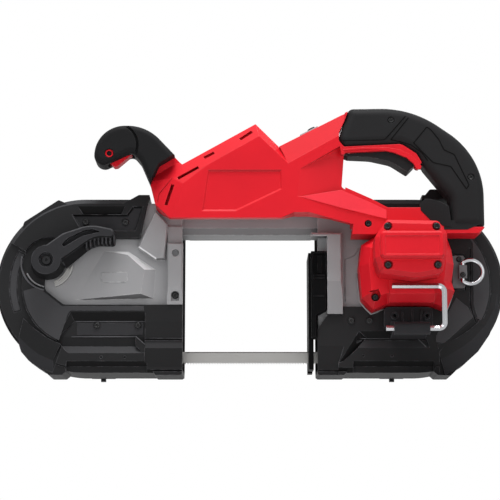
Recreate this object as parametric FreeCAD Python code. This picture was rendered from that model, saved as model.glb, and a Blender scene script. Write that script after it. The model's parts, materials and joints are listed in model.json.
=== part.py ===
import FreeCAD, Part
import math
import os
from FreeCAD import Vector

# Portable band saw, in millimetres. +X points right in the front view, +Y away from the
# viewer, +Z up. Depths are measured from the plane of the two wheels, positive to the rear.

# Wheels and blade
WHEEL_SPAN = 338.0
BLADE_RADIUS = 74.5
BLADE_THICK = 0.6
BLADE_WIDTH = 12.7
BLADE_TWIST = 65.0
TWIST_LEAD = 19.0
TWIST_TAIL = 23.0
TWIST_STEPS = 6
TOOTH_PITCH = 2.8
TOOTH_DEPTH = 1.3
TOOTH_RAKE = 0.3
TYRE_THICK = 3.0
RIM_WIDTH = 16.0
RIM_WALL = 6.0
WEB_THICK = 5.0
HUB_RADIUS = 21.0
HUB_FRONT = 10.0
WHEEL_HOLES = 6
WHEEL_HOLE_RADIUS = 11.0

# Clearances
RUN_FIT = 0.05
GAP = 0.3

# Throat and bridge
THROAT_SIDE = 100.0
BRIDGE_DROP = 22.8
BRIDGE_CHANNEL = 13.5
BRIDGE_LAP = 29.0
BRIDGE_WALL = 6.5
BRIDGE_FRONT_WALL = 9.0
BRIDGE_REAR = 13.0
BRIDGE_COVER = 3.0

# Frame deck and guards, with depths from the wheel plane
DECK_BACK = -21.0
DECK_THICK = 8.0
FLANGE_THICK = 7.0
GUARD_MARGIN = 15.5
GUARD_DROP = 3.5
GROUND_GAP = 2.5
GUARD_WALL = 3.5
GUARD_REAR = 14.0
GUARD_BEVEL = 5.0
BUMPER_SETBACK = 1.5

# Rear covers and latches
COVER_DEPTH = 22.0
COVER_WALL = 3.0
COVER_BEVEL = 8.0
HINGE_RADIUS = 3.6
HINGE_PIN_RADIUS = 1.6
HINGE_KNUCKLE = 11.0
LATCH_WIDTH = 25.0
LATCH_DEPTH = 9.0
LATCH_HEIGHT = 12.0
LATCH_TAB = 5.0
LATCH_PIVOT_DROP = 3.0
LATCH_PIN_RADIUS = 2.0
LUG_WIDTH = 3.0
LUG_HALF = 4.0
TAB_LOW = 0.2

# Handle and housing
HANDLE_PLANE = -54.0
GRIP_WIDTH = 35.0
GRIP_ROUND = 9.0
HEAD_FRONT = -70.0
HEAD_REAR = -4.0
HEAD_BEVEL = 7.0
HEAD_WALL = 8.0
ARM_HALF = 15.5
TRIGGER_WIDTH = 22.0
TRIGGER_PIN_RADIUS = 2.0
FRONT_TRIGGER_WIDTH = 13.0

# Motor and gears
MOTOR_OFFSET = (-10.0, 21.0)
BASE_FRONT = -66.0
CAP_FRONT = -114.0
PANEL_FRONT = -122.0
MOTOR_WALL = 3.5
SKIRT_FRONT = -76.0
SKIRT_BACK = -62.0
SKIRT_SLOPE = 9.0
FLANGE_SEAT = -64.0
GEAR_PLATE = 5.0
FIRST_MODULE = 0.8
FIRST_PINION_TEETH = 9
FIRST_GEAR_TEETH = 47
SECOND_MODULE = 1.0
SECOND_PINION_TEETH = 10
SECOND_GEAR_TEETH = 44
FIRST_WIDTH = 6.0
SECOND_WIDTH = 9.0
SHAFT_RADIUS = 8.5
NOSE_RADIUS = 5.0
SMALL_BEARING = 9.5
LARGE_BEARING = 17.5
ROTOR_SHAFT = 3.5
ROTOR_RADIUS = 14.5
STATOR_RADIUS = 24.0
AIR_GAP = 0.6

# Tension lever and idler carriage
LEVER_OFFSET = (-38.0, 19.0)
LEVER_BOSS = 15.0
LEVER_FRONT = -58.0
CAM_HIGH = 16.0
TENSION_TRAVEL = 8.0
CAM_SHAFT_RADIUS = 6.0
CAM_CLEARANCE = 0.8
LEVER_GROOVE = 27.0
SHAFT_ROOM = 4.0
CARRIAGE_THICK = 8.0

# Shoe, guides, key and ring
BLOCK_WIDTH = 16.0
BLOCK_RISE = 11.0
BLOCK_SEAT = 3.0
BLOCK_HOLE = 3.8
SHOE_THICK = 5.0
SHOE_HALF = 24.0
SHOE_FOOT = 6.0
SHOE_TRAVEL = 15.0
ROLLER_RADIUS = 6.0
ROLLER_WIDTH = 8.0
ROLLER_PIN = 2.0
KEY_RADIUS = 2.9
KEY_PLANE = -84.0
BARREL_RADIUS = 6.2
RING_WIRE = 2.2

# Half size of the cutting blocks, larger than the saw
BLOCK_REACH = 600.0

# Derived places
GUARD_RADIUS = BLADE_RADIUS + GUARD_MARGIN
WHEEL_HEIGHT = GROUND_GAP + GUARD_RADIUS + GUARD_DROP
LEFT = -WHEEL_SPAN / 2
RIGHT = WHEEL_SPAN / 2
THROAT_LEFT = LEFT + THROAT_SIDE
THROAT_RIGHT = RIGHT - THROAT_SIDE
BRIDGE_HALF = THROAT_RIGHT + BRIDGE_LAP
TWIST_START = RIGHT - TWIST_LEAD
TWIST_END = THROAT_RIGHT + TWIST_TAIL
BLADE_LOW = WHEEL_HEIGHT - BLADE_RADIUS - BLADE_THICK / 2
BLADE_HIGH = WHEEL_HEIGHT + BLADE_RADIUS
BRIDGE_BOTTOM = BLADE_HIGH - BRIDGE_DROP
BRIDGE_TOP = BLADE_HIGH + BRIDGE_CHANNEL
DECK_FRONT = DECK_BACK - DECK_THICK
GUARD_FRONT = DECK_FRONT - FLANGE_THICK
GUARD_HEIGHT = WHEEL_HEIGHT - GUARD_DROP
GUARD_TOP = GUARD_HEIGHT + GUARD_RADIUS
GUARD_LOW = GUARD_HEIGHT - GUARD_RADIUS
TYRE_RADIUS = BLADE_RADIUS - GAP
RIM_RADIUS = TYRE_RADIUS - TYRE_THICK
COVER_FRONT = GUARD_REAR + GAP
COVER_REAR = COVER_FRONT + COVER_DEPTH
REAR_REACH = COVER_REAR + LATCH_DEPTH
WHEEL_Y = -(PANEL_FRONT + REAR_REACH) / 2
GRIP_FRONT = HANDLE_PLANE - GRIP_WIDTH / 2
GRIP_REAR = HANDLE_PLANE + GRIP_WIDTH / 2
MOTOR_X = RIGHT + MOTOR_OFFSET[0]
MOTOR_Z = WHEEL_HEIGHT + MOTOR_OFFSET[1]
LEVER_X = LEFT + LEVER_OFFSET[0]
LEVER_Z = WHEEL_HEIGHT + LEVER_OFFSET[1]


def at(x, depth, z):
    """A point from its place across, its depth from the wheel plane and its height."""
    return Vector(x, WHEEL_Y + depth, z)


def rounded_wire(points, place):
    """Closed wire through (u, v) or (u, v, radius) corners; place maps (u, v) to a point."""
    count = len(points)
    corners = []
    for index, point in enumerate(points):
        here = Vector(point[0], point[1], 0)
        radius = point[2] if len(point) > 2 else 0
        if not radius:
            corners.append((here, None, here))
            continue
        back = points[index - 1]
        ahead = points[(index + 1) % count]
        to_back = (Vector(back[0], back[1], 0) - here).normalize()
        to_ahead = (Vector(ahead[0], ahead[1], 0) - here).normalize()
        half = to_back.getAngle(to_ahead) / 2
        inward = (to_back + to_ahead).normalize()
        reach = radius / math.tan(half)
        middle = here + inward * (radius / math.sin(half) - radius)
        corners.append((here + to_back * reach, middle, here + to_ahead * reach))
    edges = []
    for index, (start, middle, end) in enumerate(corners):
        if middle is not None:
            arc = Part.Arc(place(start), place(middle), place(end))
            edges.append(arc.toShape())
        following = corners[(index + 1) % count][0]
        if (following - end).Length > 1e-6:
            edges.append(Part.makeLine(place(end), place(following)))
    return Part.Wire(edges)


def front_prism(points, near, far):
    """Front-view outline of (x, z) corners, from one depth to another."""
    wire = rounded_wire(points, lambda p: at(p.x, near, p.y))
    return Part.Face(wire).extrude(Vector(0, far - near, 0))


def side_prism(points, left, right):
    """Side-view outline of (depth, z) corners, from one x to another."""
    wire = rounded_wire(points, lambda p: at(left, p.x, p.y))
    return Part.Face(wire).extrude(Vector(right - left, 0, 0))


def box(x0, x1, near, far, z0, z1):
    return Part.makeBox(x1 - x0, far - near, z1 - z0, at(x0, near, z0))


def rod_y(x, z, radius, near, far):
    return Part.makeCylinder(radius, far - near, at(x, near, z), Vector(0, 1, 0))


def rod_x(depth, z, radius, x0, x1):
    return Part.makeCylinder(radius, x1 - x0, at(x0, depth, z), Vector(1, 0, 0))


def ring_y(x, z, outer, inner, near, far):
    return rod_y(x, z, outer, near, far).cut(rod_y(x, z, inner, near - 1, far + 1))


def fuse(first, *others):
    return first.fuse(list(others)).removeSplitter()


def front_edges(solid, depth):
    """Edges that lie flat at one depth."""
    level = WHEEL_Y + depth
    return [e for e in solid.Edges
            if abs(e.BoundBox.YMin - level) < 1e-4 and abs(e.BoundBox.YMax - level) < 1e-4]


def bevelled(solid, depth, size):
    return solid.makeChamfer(size, front_edges(solid, depth))


def rounded_off(solid, depth, size):
    return solid.makeFillet(size, front_edges(solid, depth))


def inset(points, amount, near, far):
    """The prism of an outline drawn in by a wall."""
    wire = rounded_wire(points, lambda p: at(p.x, near, p.y))
    face = Part.Face(wire).makeOffset2D(-amount, join=2)
    return face.extrude(Vector(0, far - near, 0))


def drawn_in(points, amount):
    """Corners of a sharp outline, each side moved inward by amount; any radii are dropped."""
    count = len(points)
    turn = sum(points[i - 1][0] * points[i][1] - points[i][0] * points[i - 1][1] for i in range(count))
    side = 1 if turn > 0 else -1
    corners = []
    for index in range(count):
        here = Vector(points[index][0], points[index][1], 0)
        before = Vector(points[index - 1][0], points[index - 1][1], 0)
        after = Vector(points[(index + 1) % count][0], points[(index + 1) % count][1], 0)
        inward_a = Vector(0, 0, side).cross((here - before).normalize())
        inward_b = Vector(0, 0, side).cross((after - here).normalize())
        shift = (inward_a + inward_b) * (amount / (1 + inward_a.dot(inward_b)))
        corners.append((here.x + shift.x, here.y + shift.y))
    return corners


def tapered(points, amount, near, far):
    """Solid from an outline drawn in at its near end to the full outline at its far end."""
    small = rounded_wire(drawn_in(points, amount), lambda p: at(p.x, near, p.y))
    full = rounded_wire([q[:2] for q in points], lambda p: at(p.x, far, p.y))
    return Part.makeLoft([small, full], True, True)


def pocket(points, amount, face, deep):
    """Cutter for a recess with sloping walls, from just off a face to its floor."""
    wide = drawn_in(points, -amount / deep)
    floor = drawn_in(points, amount)
    mouth = rounded_wire(wide, lambda p: at(p.x, face - 1, p.y))
    bottom = rounded_wire(floor, lambda p: at(p.x, face + deep, p.y))
    return Part.makeLoft([mouth, bottom], True, True)


def ahead_of(a, b, c):
    """Large block on the viewer's side of the plane through three (x, depth, z) points."""
    origin = at(*a)
    along = (at(*b) - origin).normalize()
    normal = along.cross(at(*c) - origin).normalize()
    if normal.y > 0:
        normal = normal * -1
    block = Part.makeBox(2 * BLOCK_REACH, 2 * BLOCK_REACH, BLOCK_REACH, Vector(-BLOCK_REACH, -BLOCK_REACH, 0))
    turn = FreeCAD.Rotation(along, normal.cross(along), normal, "ZXY")
    block.Placement = FreeCAD.Placement(origin, turn)
    return block


def facet(region, near, far, a, b, c):
    """Cutter that slants one region of a face back from the crease a-b to the point c."""
    return front_prism(region, near, far).common(ahead_of(a, b, c))


def export(name, shape):
    shape.exportStep("parts/" + name + ".step")


# Wheel guards

def tub_outline(grow):
    """Rounded tub of the left guard, open to the throat, drawn in or out by grow."""
    outer = LEFT - GUARD_RADIUS - 1 - grow
    curve = GUARD_RADIUS + grow - 0.1
    return [(outer, GUARD_TOP + grow, curve), (outer, GUARD_LOW - grow, curve)]


def guard_shell(right_edge, bumpers):
    """Tub of the left guard with its front flange, its bumpers and the space inside."""
    shell = front_prism(right_edge + tub_outline(0), GUARD_FRONT, GUARD_REAR)
    shell = fuse(bevelled_rim(shell), *bumpers)
    space = [(0, GUARD_LOW + GUARD_WALL), (0, GUARD_TOP - GUARD_WALL)] + tub_outline(-GUARD_WALL)
    return shell.cut(front_prism(space, DECK_FRONT, GUARD_REAR + 1))


def bevelled_rim(shell):
    """Bevel along the round outer rim of the front face."""
    limit = LEFT - GUARD_RADIUS / 2
    rim = [e for e in front_edges(shell, GUARD_FRONT) if e.BoundBox.XMin < limit]
    return shell.makeChamfer(GUARD_BEVEL, rim)


def bumper(points):
    return front_prism(points, GUARD_FRONT + BUMPER_SETBACK, GUARD_REAR)


def feet():
    """Flat rubber feet under the left guard, one at each end of its arch."""
    inner = [(THROAT_LEFT - 27, 0, 2), (THROAT_LEFT, 0, 2), (THROAT_LEFT, GUARD_LOW + 1),
             (THROAT_LEFT - 30, GUARD_LOW + 1)]
    outer = [(LEFT - 36, 0, 2), (LEFT - 22, 0, 2), (LEFT - 18, GUARD_LOW + 1), (LEFT - 22, GUARD_LOW + 12),
             (LEFT - 64, GUARD_LOW + 32), (LEFT - 66, GUARD_LOW + 27, 2)]
    return [bumper(inner), bumper(outer)]


def top_bumper():
    return bumper([(LEFT - 66, GUARD_TOP - 30, 2), (LEFT - 64, GUARD_TOP - 24, 2), (LEFT - 29,
                                                                                    GUARD_TOP - 1, 2),
                   (LEFT - 20, GUARD_TOP - 5), (LEFT - 40, GUARD_TOP - 20), (LEFT - 60, GUARD_TOP - 34)])


WINDOW_LOW = GUARD_LOW + 69.5
WINDOW_HIGH = GUARD_TOP - 41.5
LEFT_EDGE = [(THROAT_LEFT, GUARD_LOW), (THROAT_LEFT, WINDOW_LOW), (LEFT + 58, WINDOW_LOW),
             (LEFT + 55.5, WINDOW_HIGH), (LEFT + 65, GUARD_TOP + 4), (LEFT + 54, GUARD_TOP + 4),
             (LEFT + 47, GUARD_TOP)]
LEFT_WINDOW = [(0, WINDOW_LOW), (LEFT - 22, WINDOW_LOW, 8), (LEFT - 42, WINDOW_LOW + 16, 8),
               (LEFT - 42, WINDOW_HIGH - 14, 12), (LEFT - 16, WINDOW_HIGH, 10), (0, WINDOW_HIGH)]
UPPER_PANEL = [(LEFT - 15, GUARD_TOP - 16.5), (LEFT + 42, GUARD_TOP - 16.5), (LEFT + 48, GUARD_TOP - 8),
               (LEFT + 59, GUARD_TOP - 8), (LEFT + 51, GUARD_TOP - 34), (LEFT - 5, GUARD_TOP - 34)]
PANEL_DEPTH = 3.0
SCREW_RADIUS = 3.6
SCREW_HEAD = 2.5
UPPER_SCREWS = [(LEFT - 0.5, GUARD_TOP - 24.5), (LEFT + 40.5, GUARD_TOP - 24.5)]
LOWER_SCREWS = [(LEFT + 12.5, GUARD_LOW + 48.5), (LEFT + 54.5, GUARD_LOW + 48.5)]


def cover_hinge(x0, guard_side):
    """Hinge knuckles beside x0, the outer pair on the guard and the middle one on the cover."""
    axis_z = GUARD_TOP + HINGE_RADIUS + GAP
    spans = [0, 2] if guard_side else [1]
    pieces = []
    for span in spans:
        start = x0 + span * (HINGE_KNUCKLE + GAP)
        barrel = rod_x(COVER_FRONT, axis_z, HINGE_RADIUS, start, start + HINGE_KNUCKLE)
        if guard_side:
            leaf = box(start, start + HINGE_KNUCKLE, COVER_FRONT - HINGE_RADIUS, COVER_FRONT - GAP,
                       GUARD_TOP - 2, axis_z)
        else:
            leaf = box(start, start + HINGE_KNUCKLE, COVER_FRONT, COVER_FRONT + HINGE_RADIUS,
                       GUARD_TOP - 3, axis_z)
        bore = rod_x(COVER_FRONT, axis_z, HINGE_PIN_RADIUS + RUN_FIT, start - 1, start + HINGE_KNUCKLE + 1)
        pieces.append(barrel.fuse(leaf).cut(bore))
    return pieces


def hinge_pin(x0):
    axis_z = GUARD_TOP + HINGE_RADIUS + GAP
    return rod_x(COVER_FRONT, axis_z, HINGE_PIN_RADIUS, x0, x0 + 3 * HINGE_KNUCKLE + 2 * GAP)


LEFT_HINGE = LEFT - 2
RIGHT_HINGE = RIGHT - 30


RIM_STEP = 2.5
CRESCENT_STEP = 1.5
PLATEAU_RADIUS = 64.0
CRESCENT = (69.0, 77.0)
FLOOR_DEPTH = GUARD_FRONT + 4
VALLEY_DEPTH = GUARD_FRONT + 5.3
BAR_HIGH = GUARD_LOW + 19.7
BAR_LOW = GUARD_LOW + 11.5
RAIL_DEPTH = GUARD_FRONT + 5
BROW_HIGH = GUARD_TOP - 8
BROW_LOW = GUARD_TOP - 16.5
DIMPLE_RADIUS = 1.4


def sector(centre_x, inner, outer, start, end, near, far):
    """Part of a ring around a guard's round end, between two angles."""
    ring = ring_y(centre_x, GUARD_HEIGHT, outer, inner, near, far)
    corners = [(centre_x, GUARD_HEIGHT)]
    for share in (0, 1 / 3, 2 / 3, 1):
        angle = math.radians(start + share * (end - start))
        corners.append((centre_x + 2 * outer * math.cos(angle), GUARD_HEIGHT + 2 * outer * math.sin(angle)))
    return ring.common(front_prism(corners, near, far))


def left_relief():
    """Cutters for the left guard: stepped rim, screw recess over a bar, end block and arch."""
    face = GUARD_FRONT
    off = face - 1
    step = sector(LEFT - 1, PLATEAU_RADIUS, GUARD_RADIUS + 5, 150, 251, off, face + RIM_STEP)
    crescent = sector(LEFT - 1, CRESCENT[0], CRESCENT[1], 152, 202, off, face + RIM_STEP + CRESCENT_STEP)
    recess = side_prism([(off, GUARD_LOW + 61.8), (face, GUARD_LOW + 61.8), (FLOOR_DEPTH, GUARD_LOW + 52.5),
                         (FLOOR_DEPTH, GUARD_LOW + 36.7), (VALLEY_DEPTH, GUARD_LOW + 26.9), (face, BAR_HIGH),
                         (off, BAR_HIGH)], LEFT - 30, LEFT + 62)
    region = front_prism([(LEFT - 14.5, GUARD_LOW + 61.8), (LEFT + 61.7, GUARD_LOW + 61.8),
                          (LEFT + 61.7, BAR_HIGH), (LEFT - 16.3, BAR_HIGH), (LEFT - 28.7, GUARD_LOW + 33)],
                         off, DECK_FRONT)
    end_block = side_prism([(off, GUARD_LOW + 35.1), (face, GUARD_LOW + 35.1), (face + 3, GUARD_LOW + 33),
                            (face, GUARD_LOW + 24.8), (face + 2, GUARD_LOW + 5.5), (face + 2, 0), (off, 0)],
                           LEFT + 61.7, THROAT_LEFT + 1)
    slope = facet([(LEFT + 61.7, GUARD_LOW + 51.5), (THROAT_LEFT + 1, GUARD_LOW + 51.5),
                   (THROAT_LEFT + 1, GUARD_LOW + 35), (LEFT + 61.7, GUARD_LOW + 35)], off, DECK_FRONT,
                  (LEFT, face, GUARD_LOW + 51.5), (THROAT_LEFT, face, GUARD_LOW + 51.5),
                  (LEFT, face + 1.2, GUARD_LOW + 35))
    arch = side_prism([(off, BAR_LOW), (face, BAR_LOW), (RAIL_DEPTH, GUARD_LOW + 6.4), (RAIL_DEPTH, 0),
                       (off, 0)],
                      LEFT - 18, LEFT + 64)
    dimples = [rod_y(LEFT + dx, GUARD_LOW + 15.5, DIMPLE_RADIUS, off, face + 1) for dx in (17.4, 41.5)]
    brow = facet([(LEFT - 9, BROW_HIGH), (LEFT + 40, BROW_HIGH), (LEFT + 36, BROW_LOW), (LEFT - 3, BROW_LOW)],
                 off, DECK_FRONT, (LEFT - 9, face, BROW_HIGH), (LEFT + 40, face, BROW_HIGH),
                 (LEFT, face + PANEL_DEPTH, BROW_LOW))
    return [step, crescent, recess.common(region), end_block, slope, arch, brow] + dimples


def make_left_guard():
    shell = guard_shell(LEFT_EDGE, [top_bumper()] + feet())
    for cutter in left_relief():
        shell = shell.cut(cutter)
    shell = shell.cut(front_prism(LEFT_WINDOW, GUARD_FRONT - 1, DECK_FRONT + 1))
    shell = shell.cut(rod_y(LEVER_X, LEVER_Z, LEVER_GROOVE, GUARD_FRONT - 1, GUARD_FRONT + PANEL_DEPTH))
    shell = shell.cut(rod_y(LEVER_X, LEVER_Z, CAM_SHAFT_RADIUS + SHAFT_ROOM, GUARD_FRONT, DECK_FRONT + 1))
    shell = shell.cut(pocket(UPPER_PANEL, 2.0, GUARD_FRONT, PANEL_DEPTH))
    return fuse(shell, *cover_hinge(LEFT_HINGE, True))


COLUMN_FRONT = -44.0
COLUMN_WIDTH = 32.0
COLUMN_LOW = WINDOW_LOW - 10
COLUMN_CREASE = COLUMN_LOW + 33
COLUMN_LEFT = THROAT_RIGHT - 6.4
COLUMN_RIGHT = COLUMN_LEFT + COLUMN_WIDTH
SLIDER_ROOM = 16.4
SLIDER_TAIL = 5.8
RIGHT_EDGE = [(-THROAT_RIGHT, GUARD_LOW), (-THROAT_RIGHT, GUARD_LOW + 44), (-THROAT_RIGHT - 10,
                                                                            WINDOW_LOW - 11),
              (-COLUMN_RIGHT - 0.6, WINDOW_LOW - 11),
              (-COLUMN_RIGHT - 0.6, WINDOW_LOW - 2), (-RIGHT + 50, WINDOW_LOW - 2), (-RIGHT + 38,
                                                                                     WHEEL_HEIGHT + 38),
              (-RIGHT + 48, GUARD_TOP)]
RIGHT_SCREWS = [(RIGHT - 65.5, WHEEL_HEIGHT - 40.5), (RIGHT - 47, WHEEL_HEIGHT - 40.5)]
RIGHT_PLATEAU = 77.0
GROOVE = [(RIGHT + 57.5, WHEEL_HEIGHT + 34.7), (RIGHT + 56.5, WHEEL_HEIGHT - 25.5), (RIGHT + 61.8,
                                                                                     WHEEL_HEIGHT - 42)]
GROOVE_WIDTH = 1.6
RING_ROOM = [(RIGHT + 30, WHEEL_HEIGHT - 9), (RIGHT + 52, WHEEL_HEIGHT - 9), (RIGHT + 52, WHEEL_HEIGHT + 28),
             (RIGHT + 30, WHEEL_HEIGHT + 28)]


def make_right_guard():
    """Mirror image of the left tub, with a window for the motor and room for the handle foot."""
    shell = guard_shell(RIGHT_EDGE, feet()).mirror(Vector(0, 0, 0), Vector(1, 0, 0))
    window = inset(BASE_OUTLINE, -GAP, GUARD_FRONT - 1, DECK_FRONT + 1)
    ring_room = front_prism(RING_ROOM, GUARD_FRONT - 1, DECK_FRONT + 1)
    shell = shell.cut(window).cut(ring_room)
    for cutter in right_relief():
        shell = shell.cut(cutter)
    return fuse(shell, *cover_hinge(RIGHT_HINGE, True))


def right_relief():
    """Cutters for the right guard: stepped rim, recess, diagonal wall, creased plate, arch and groove."""
    face = GUARD_FRONT
    off = face - 1
    step = sector(RIGHT + 1, RIGHT_PLATEAU, GUARD_RADIUS + 5, -34, 50, off, face + RIM_STEP)
    groove = [front_prism(strip(a, b, GROOVE_WIDTH), off, face + RIM_STEP) for a, b in zip(GROOVE,
                                                                                           GROOVE[1:])]
    recess = side_prism([(off, GUARD_LOW + 42.2), (face, GUARD_LOW + 42.2), (VALLEY_DEPTH, GUARD_LOW + 33),
                         (face, GUARD_LOW + 25), (off, GUARD_LOW + 25)], RIGHT - 60, RIGHT + 20)
    region = front_prism([(RIGHT - 57.8, GUARD_LOW + 42.2), (RIGHT + 8, GUARD_LOW + 42.2), (RIGHT + 14,
                                                                                            GUARD_LOW + 25),
                          (RIGHT - 68, GUARD_LOW + 25)], off, DECK_FRONT)
    wall = facet([(RIGHT - 57.8, GUARD_LOW + 42.2), (RIGHT - 50, GUARD_LOW + 36), (RIGHT - 61,
                                                                                   GUARD_LOW + 23),
                  (RIGHT - 73.3, GUARD_LOW + 12), (RIGHT - 78.5, GUARD_LOW + 9.5)], off, DECK_FRONT,
                 (RIGHT - 57.8, face, GUARD_LOW + 42.2), (RIGHT - 78.5, face, GUARD_LOW + 9.5),
                 (RIGHT - 54.8, VALLEY_DEPTH, GUARD_LOW + 33))
    plate = facet([(THROAT_RIGHT - 1, GUARD_LOW + 27.2), (RIGHT - 73, GUARD_LOW + 27.2), (RIGHT - 79,
                                                                                          GUARD_LOW + 9),
                   (RIGHT - 79, -1), (THROAT_RIGHT - 1, -1)], off, DECK_FRONT,
                  (THROAT_RIGHT, face, GUARD_LOW + 27.2), (RIGHT, face, GUARD_LOW + 27.2), (RIGHT, face + 3,
                                                                                            0))
    corner = facet([(RIGHT + 24, GUARD_LOW + 20.7), (RIGHT + 29.7, GUARD_LOW + 27.9), (RIGHT + 60.8,
                                                                                       GUARD_LOW + 55.6),
                    (RIGHT + 90, GUARD_LOW + 55), (RIGHT + 90, -1), (RIGHT + 24, -1)], off, DECK_FRONT,
                   (RIGHT + 29.7, face, GUARD_LOW + 27.9), (RIGHT + 60.8, face, GUARD_LOW + 55.6),
                   (RIGHT + 52, face + 4.5, GUARD_LOW + 18))
    arch = side_prism([(off, BAR_LOW), (face, BAR_LOW), (RAIL_DEPTH, GUARD_LOW + 6.4), (RAIL_DEPTH, 0),
                       (off, 0)],
                      RIGHT - 64, RIGHT + 18)
    dimples = [rod_y(RIGHT + dx, GUARD_LOW + 17, DIMPLE_RADIUS, off, face + 1) for dx in (-53.5, -24.5)]
    return [step, recess.common(region), wall, plate, corner, arch] + groove + dimples


def rear_cover(hinge_x, latch_x, mirror):
    """Hinged rear tray over one wheel, open to the throat, with its hinge knuckle and latch lugs."""
    edge = [(THROAT_LEFT, GUARD_LOW), (THROAT_LEFT, GUARD_TOP)]
    tray = front_prism(edge + tub_outline(0), COVER_FRONT, COVER_REAR)
    tray = tray.makeChamfer(COVER_BEVEL, rear_rim(tray))
    tray = tray.cut(cover_space(COVER_WALL, COVER_REAR - COVER_BEVEL))
    tray = tray.cut(cover_space(COVER_BEVEL, COVER_REAR - COVER_WALL))
    if mirror:
        tray = tray.mirror(Vector(0, 0, 0), Vector(1, 0, 0))
    return fuse(tray, *cover_hinge(hinge_x, False), *latch_lugs(latch_x))


def cover_space(wall, far):
    """Space inside a cover, a wall in from its outline, back to one depth."""
    open_side = [(0, GUARD_LOW + wall), (0, GUARD_TOP - wall)]
    return front_prism(open_side + tub_outline(-wall), COVER_FRONT - 1, far)


def rear_rim(tray):
    limit = LEFT - GUARD_RADIUS / 2
    return [e for e in front_edges(tray, COVER_REAR) if e.BoundBox.XMin < limit]


LATCH_TOP = GUARD_LOW + LATCH_HEIGHT
LATCH_AXIS = (COVER_REAR + LATCH_DEPTH / 2, LATCH_TOP - LATCH_PIVOT_DROP)
LEFT_LATCH = LEFT + 14
RIGHT_LATCH = RIGHT - 19


def latch(x):
    """Cover latch: a block with a pull tab, on a pin between two lugs of the cover."""
    half = LATCH_WIDTH / 2
    near = COVER_REAR + GAP
    far = COVER_REAR + LATCH_DEPTH
    block = side_prism([(near, GUARD_LOW + 1), (far, GUARD_LOW + 1, 2), (far, LATCH_TOP, 2),
                        (near, LATCH_TOP, LATCH_PIVOT_DROP)], x - half, x + half)
    tab = box(x - LATCH_TAB / 2, x + LATCH_TAB / 2, near, far - 2, TAB_LOW, GUARD_LOW + 2)
    reach = half + LUG_WIDTH
    pin = rod_x(LATCH_AXIS[0], LATCH_AXIS[1], LATCH_PIN_RADIUS, x - reach, x + reach)
    return fuse(block, tab, pin)


def latch_lugs(x):
    """Two lugs on the cover's back that hold the ends of the latch pin."""
    depth, z = LATCH_AXIS
    lugs = []
    for start in (x - LATCH_WIDTH / 2 - GAP - LUG_WIDTH, x + LATCH_WIDTH / 2 + GAP):
        lug = side_prism([(COVER_REAR - 1, z - LUG_HALF), (depth + LUG_HALF, z - LUG_HALF, 3),
                          (depth + LUG_HALF, z + LUG_HALF, 3), (COVER_REAR - 1, z + LUG_HALF)], start,
                          start + LUG_WIDTH)
        bore = rod_x(depth, z, LATCH_PIN_RADIUS + RUN_FIT, start - 1, start + LUG_WIDTH + 1)
        lugs.append(lug.cut(bore))
    return lugs


# Cast frame

DECK_LEFT = [(THROAT_LEFT - 1, GUARD_LOW + GUARD_WALL + GAP), (THROAT_LEFT - 1, GUARD_TOP - GUARD_WALL - GAP)]
STRUT = [(LEFT + 71, BRIDGE_TOP - 13.5), (LEFT + 84.5, BRIDGE_TOP - 28), (LEFT + 81.5, WHEEL_HEIGHT + 23),
         (LEFT + 72.5, WHEEL_HEIGHT + 22.7), (LEFT + 53.5, WHEEL_HEIGHT + 35.7)]
PANEL_BASE = [(LEFT - 10.8, WHEEL_HEIGHT - 18.3), (LEFT + 70, WHEEL_HEIGHT - 16.7), (LEFT + 71.6,
                                                                                     WHEEL_HEIGHT + 13.3),
              (LEFT + 43.8, WHEEL_HEIGHT + 31.9), (LEFT + 18.8, WHEEL_HEIGHT + 32.8)]
PANEL_TOP = [(LEFT + 60.3, WHEEL_HEIGHT - 12.2), (LEFT + 60.5, WHEEL_HEIGHT + 12.4), (LEFT + 41.9,
                                                                                      WHEEL_HEIGHT + 28.7)]
PANEL_TILT = 0.115
RAIL = 6.0
CARRIAGE_LOW = WHEEL_HEIGHT - 14
CARRIAGE_HIGH = LEVER_Z + CAM_HIGH + CAM_CLEARANCE + 6
CARRIAGE_LEFT = LEVER_X - CAM_HIGH - CAM_CLEARANCE - 7
CARRIAGE_RIGHT = LEFT + 22
CARRIAGE_BACK = DECK_BACK + GAP + CARRIAGE_THICK


def deck(mirror):
    plate = front_prism(DECK_LEFT + tub_outline(-GUARD_WALL - GAP), DECK_FRONT, DECK_BACK)
    return plate.mirror(Vector(0, 0, 0), Vector(1, 0, 0)) if mirror else plate


def bridge():
    front = DECK_BACK
    outer = [(front + 4, BRIDGE_BOTTOM), (BRIDGE_REAR, BRIDGE_BOTTOM), (BRIDGE_REAR, BRIDGE_TOP),
             (front, BRIDGE_TOP), (front, BRIDGE_BOTTOM + BRIDGE_WALL)]
    channel = box(-BRIDGE_HALF - 1, BRIDGE_HALF + 1, front + BRIDGE_FRONT_WALL, BRIDGE_REAR + 1,
                  BRIDGE_BOTTOM + BRIDGE_WALL, BRIDGE_TOP - BRIDGE_WALL)
    return side_prism(outer, -BRIDGE_HALF, BRIDGE_HALF).cut(channel)


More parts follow.
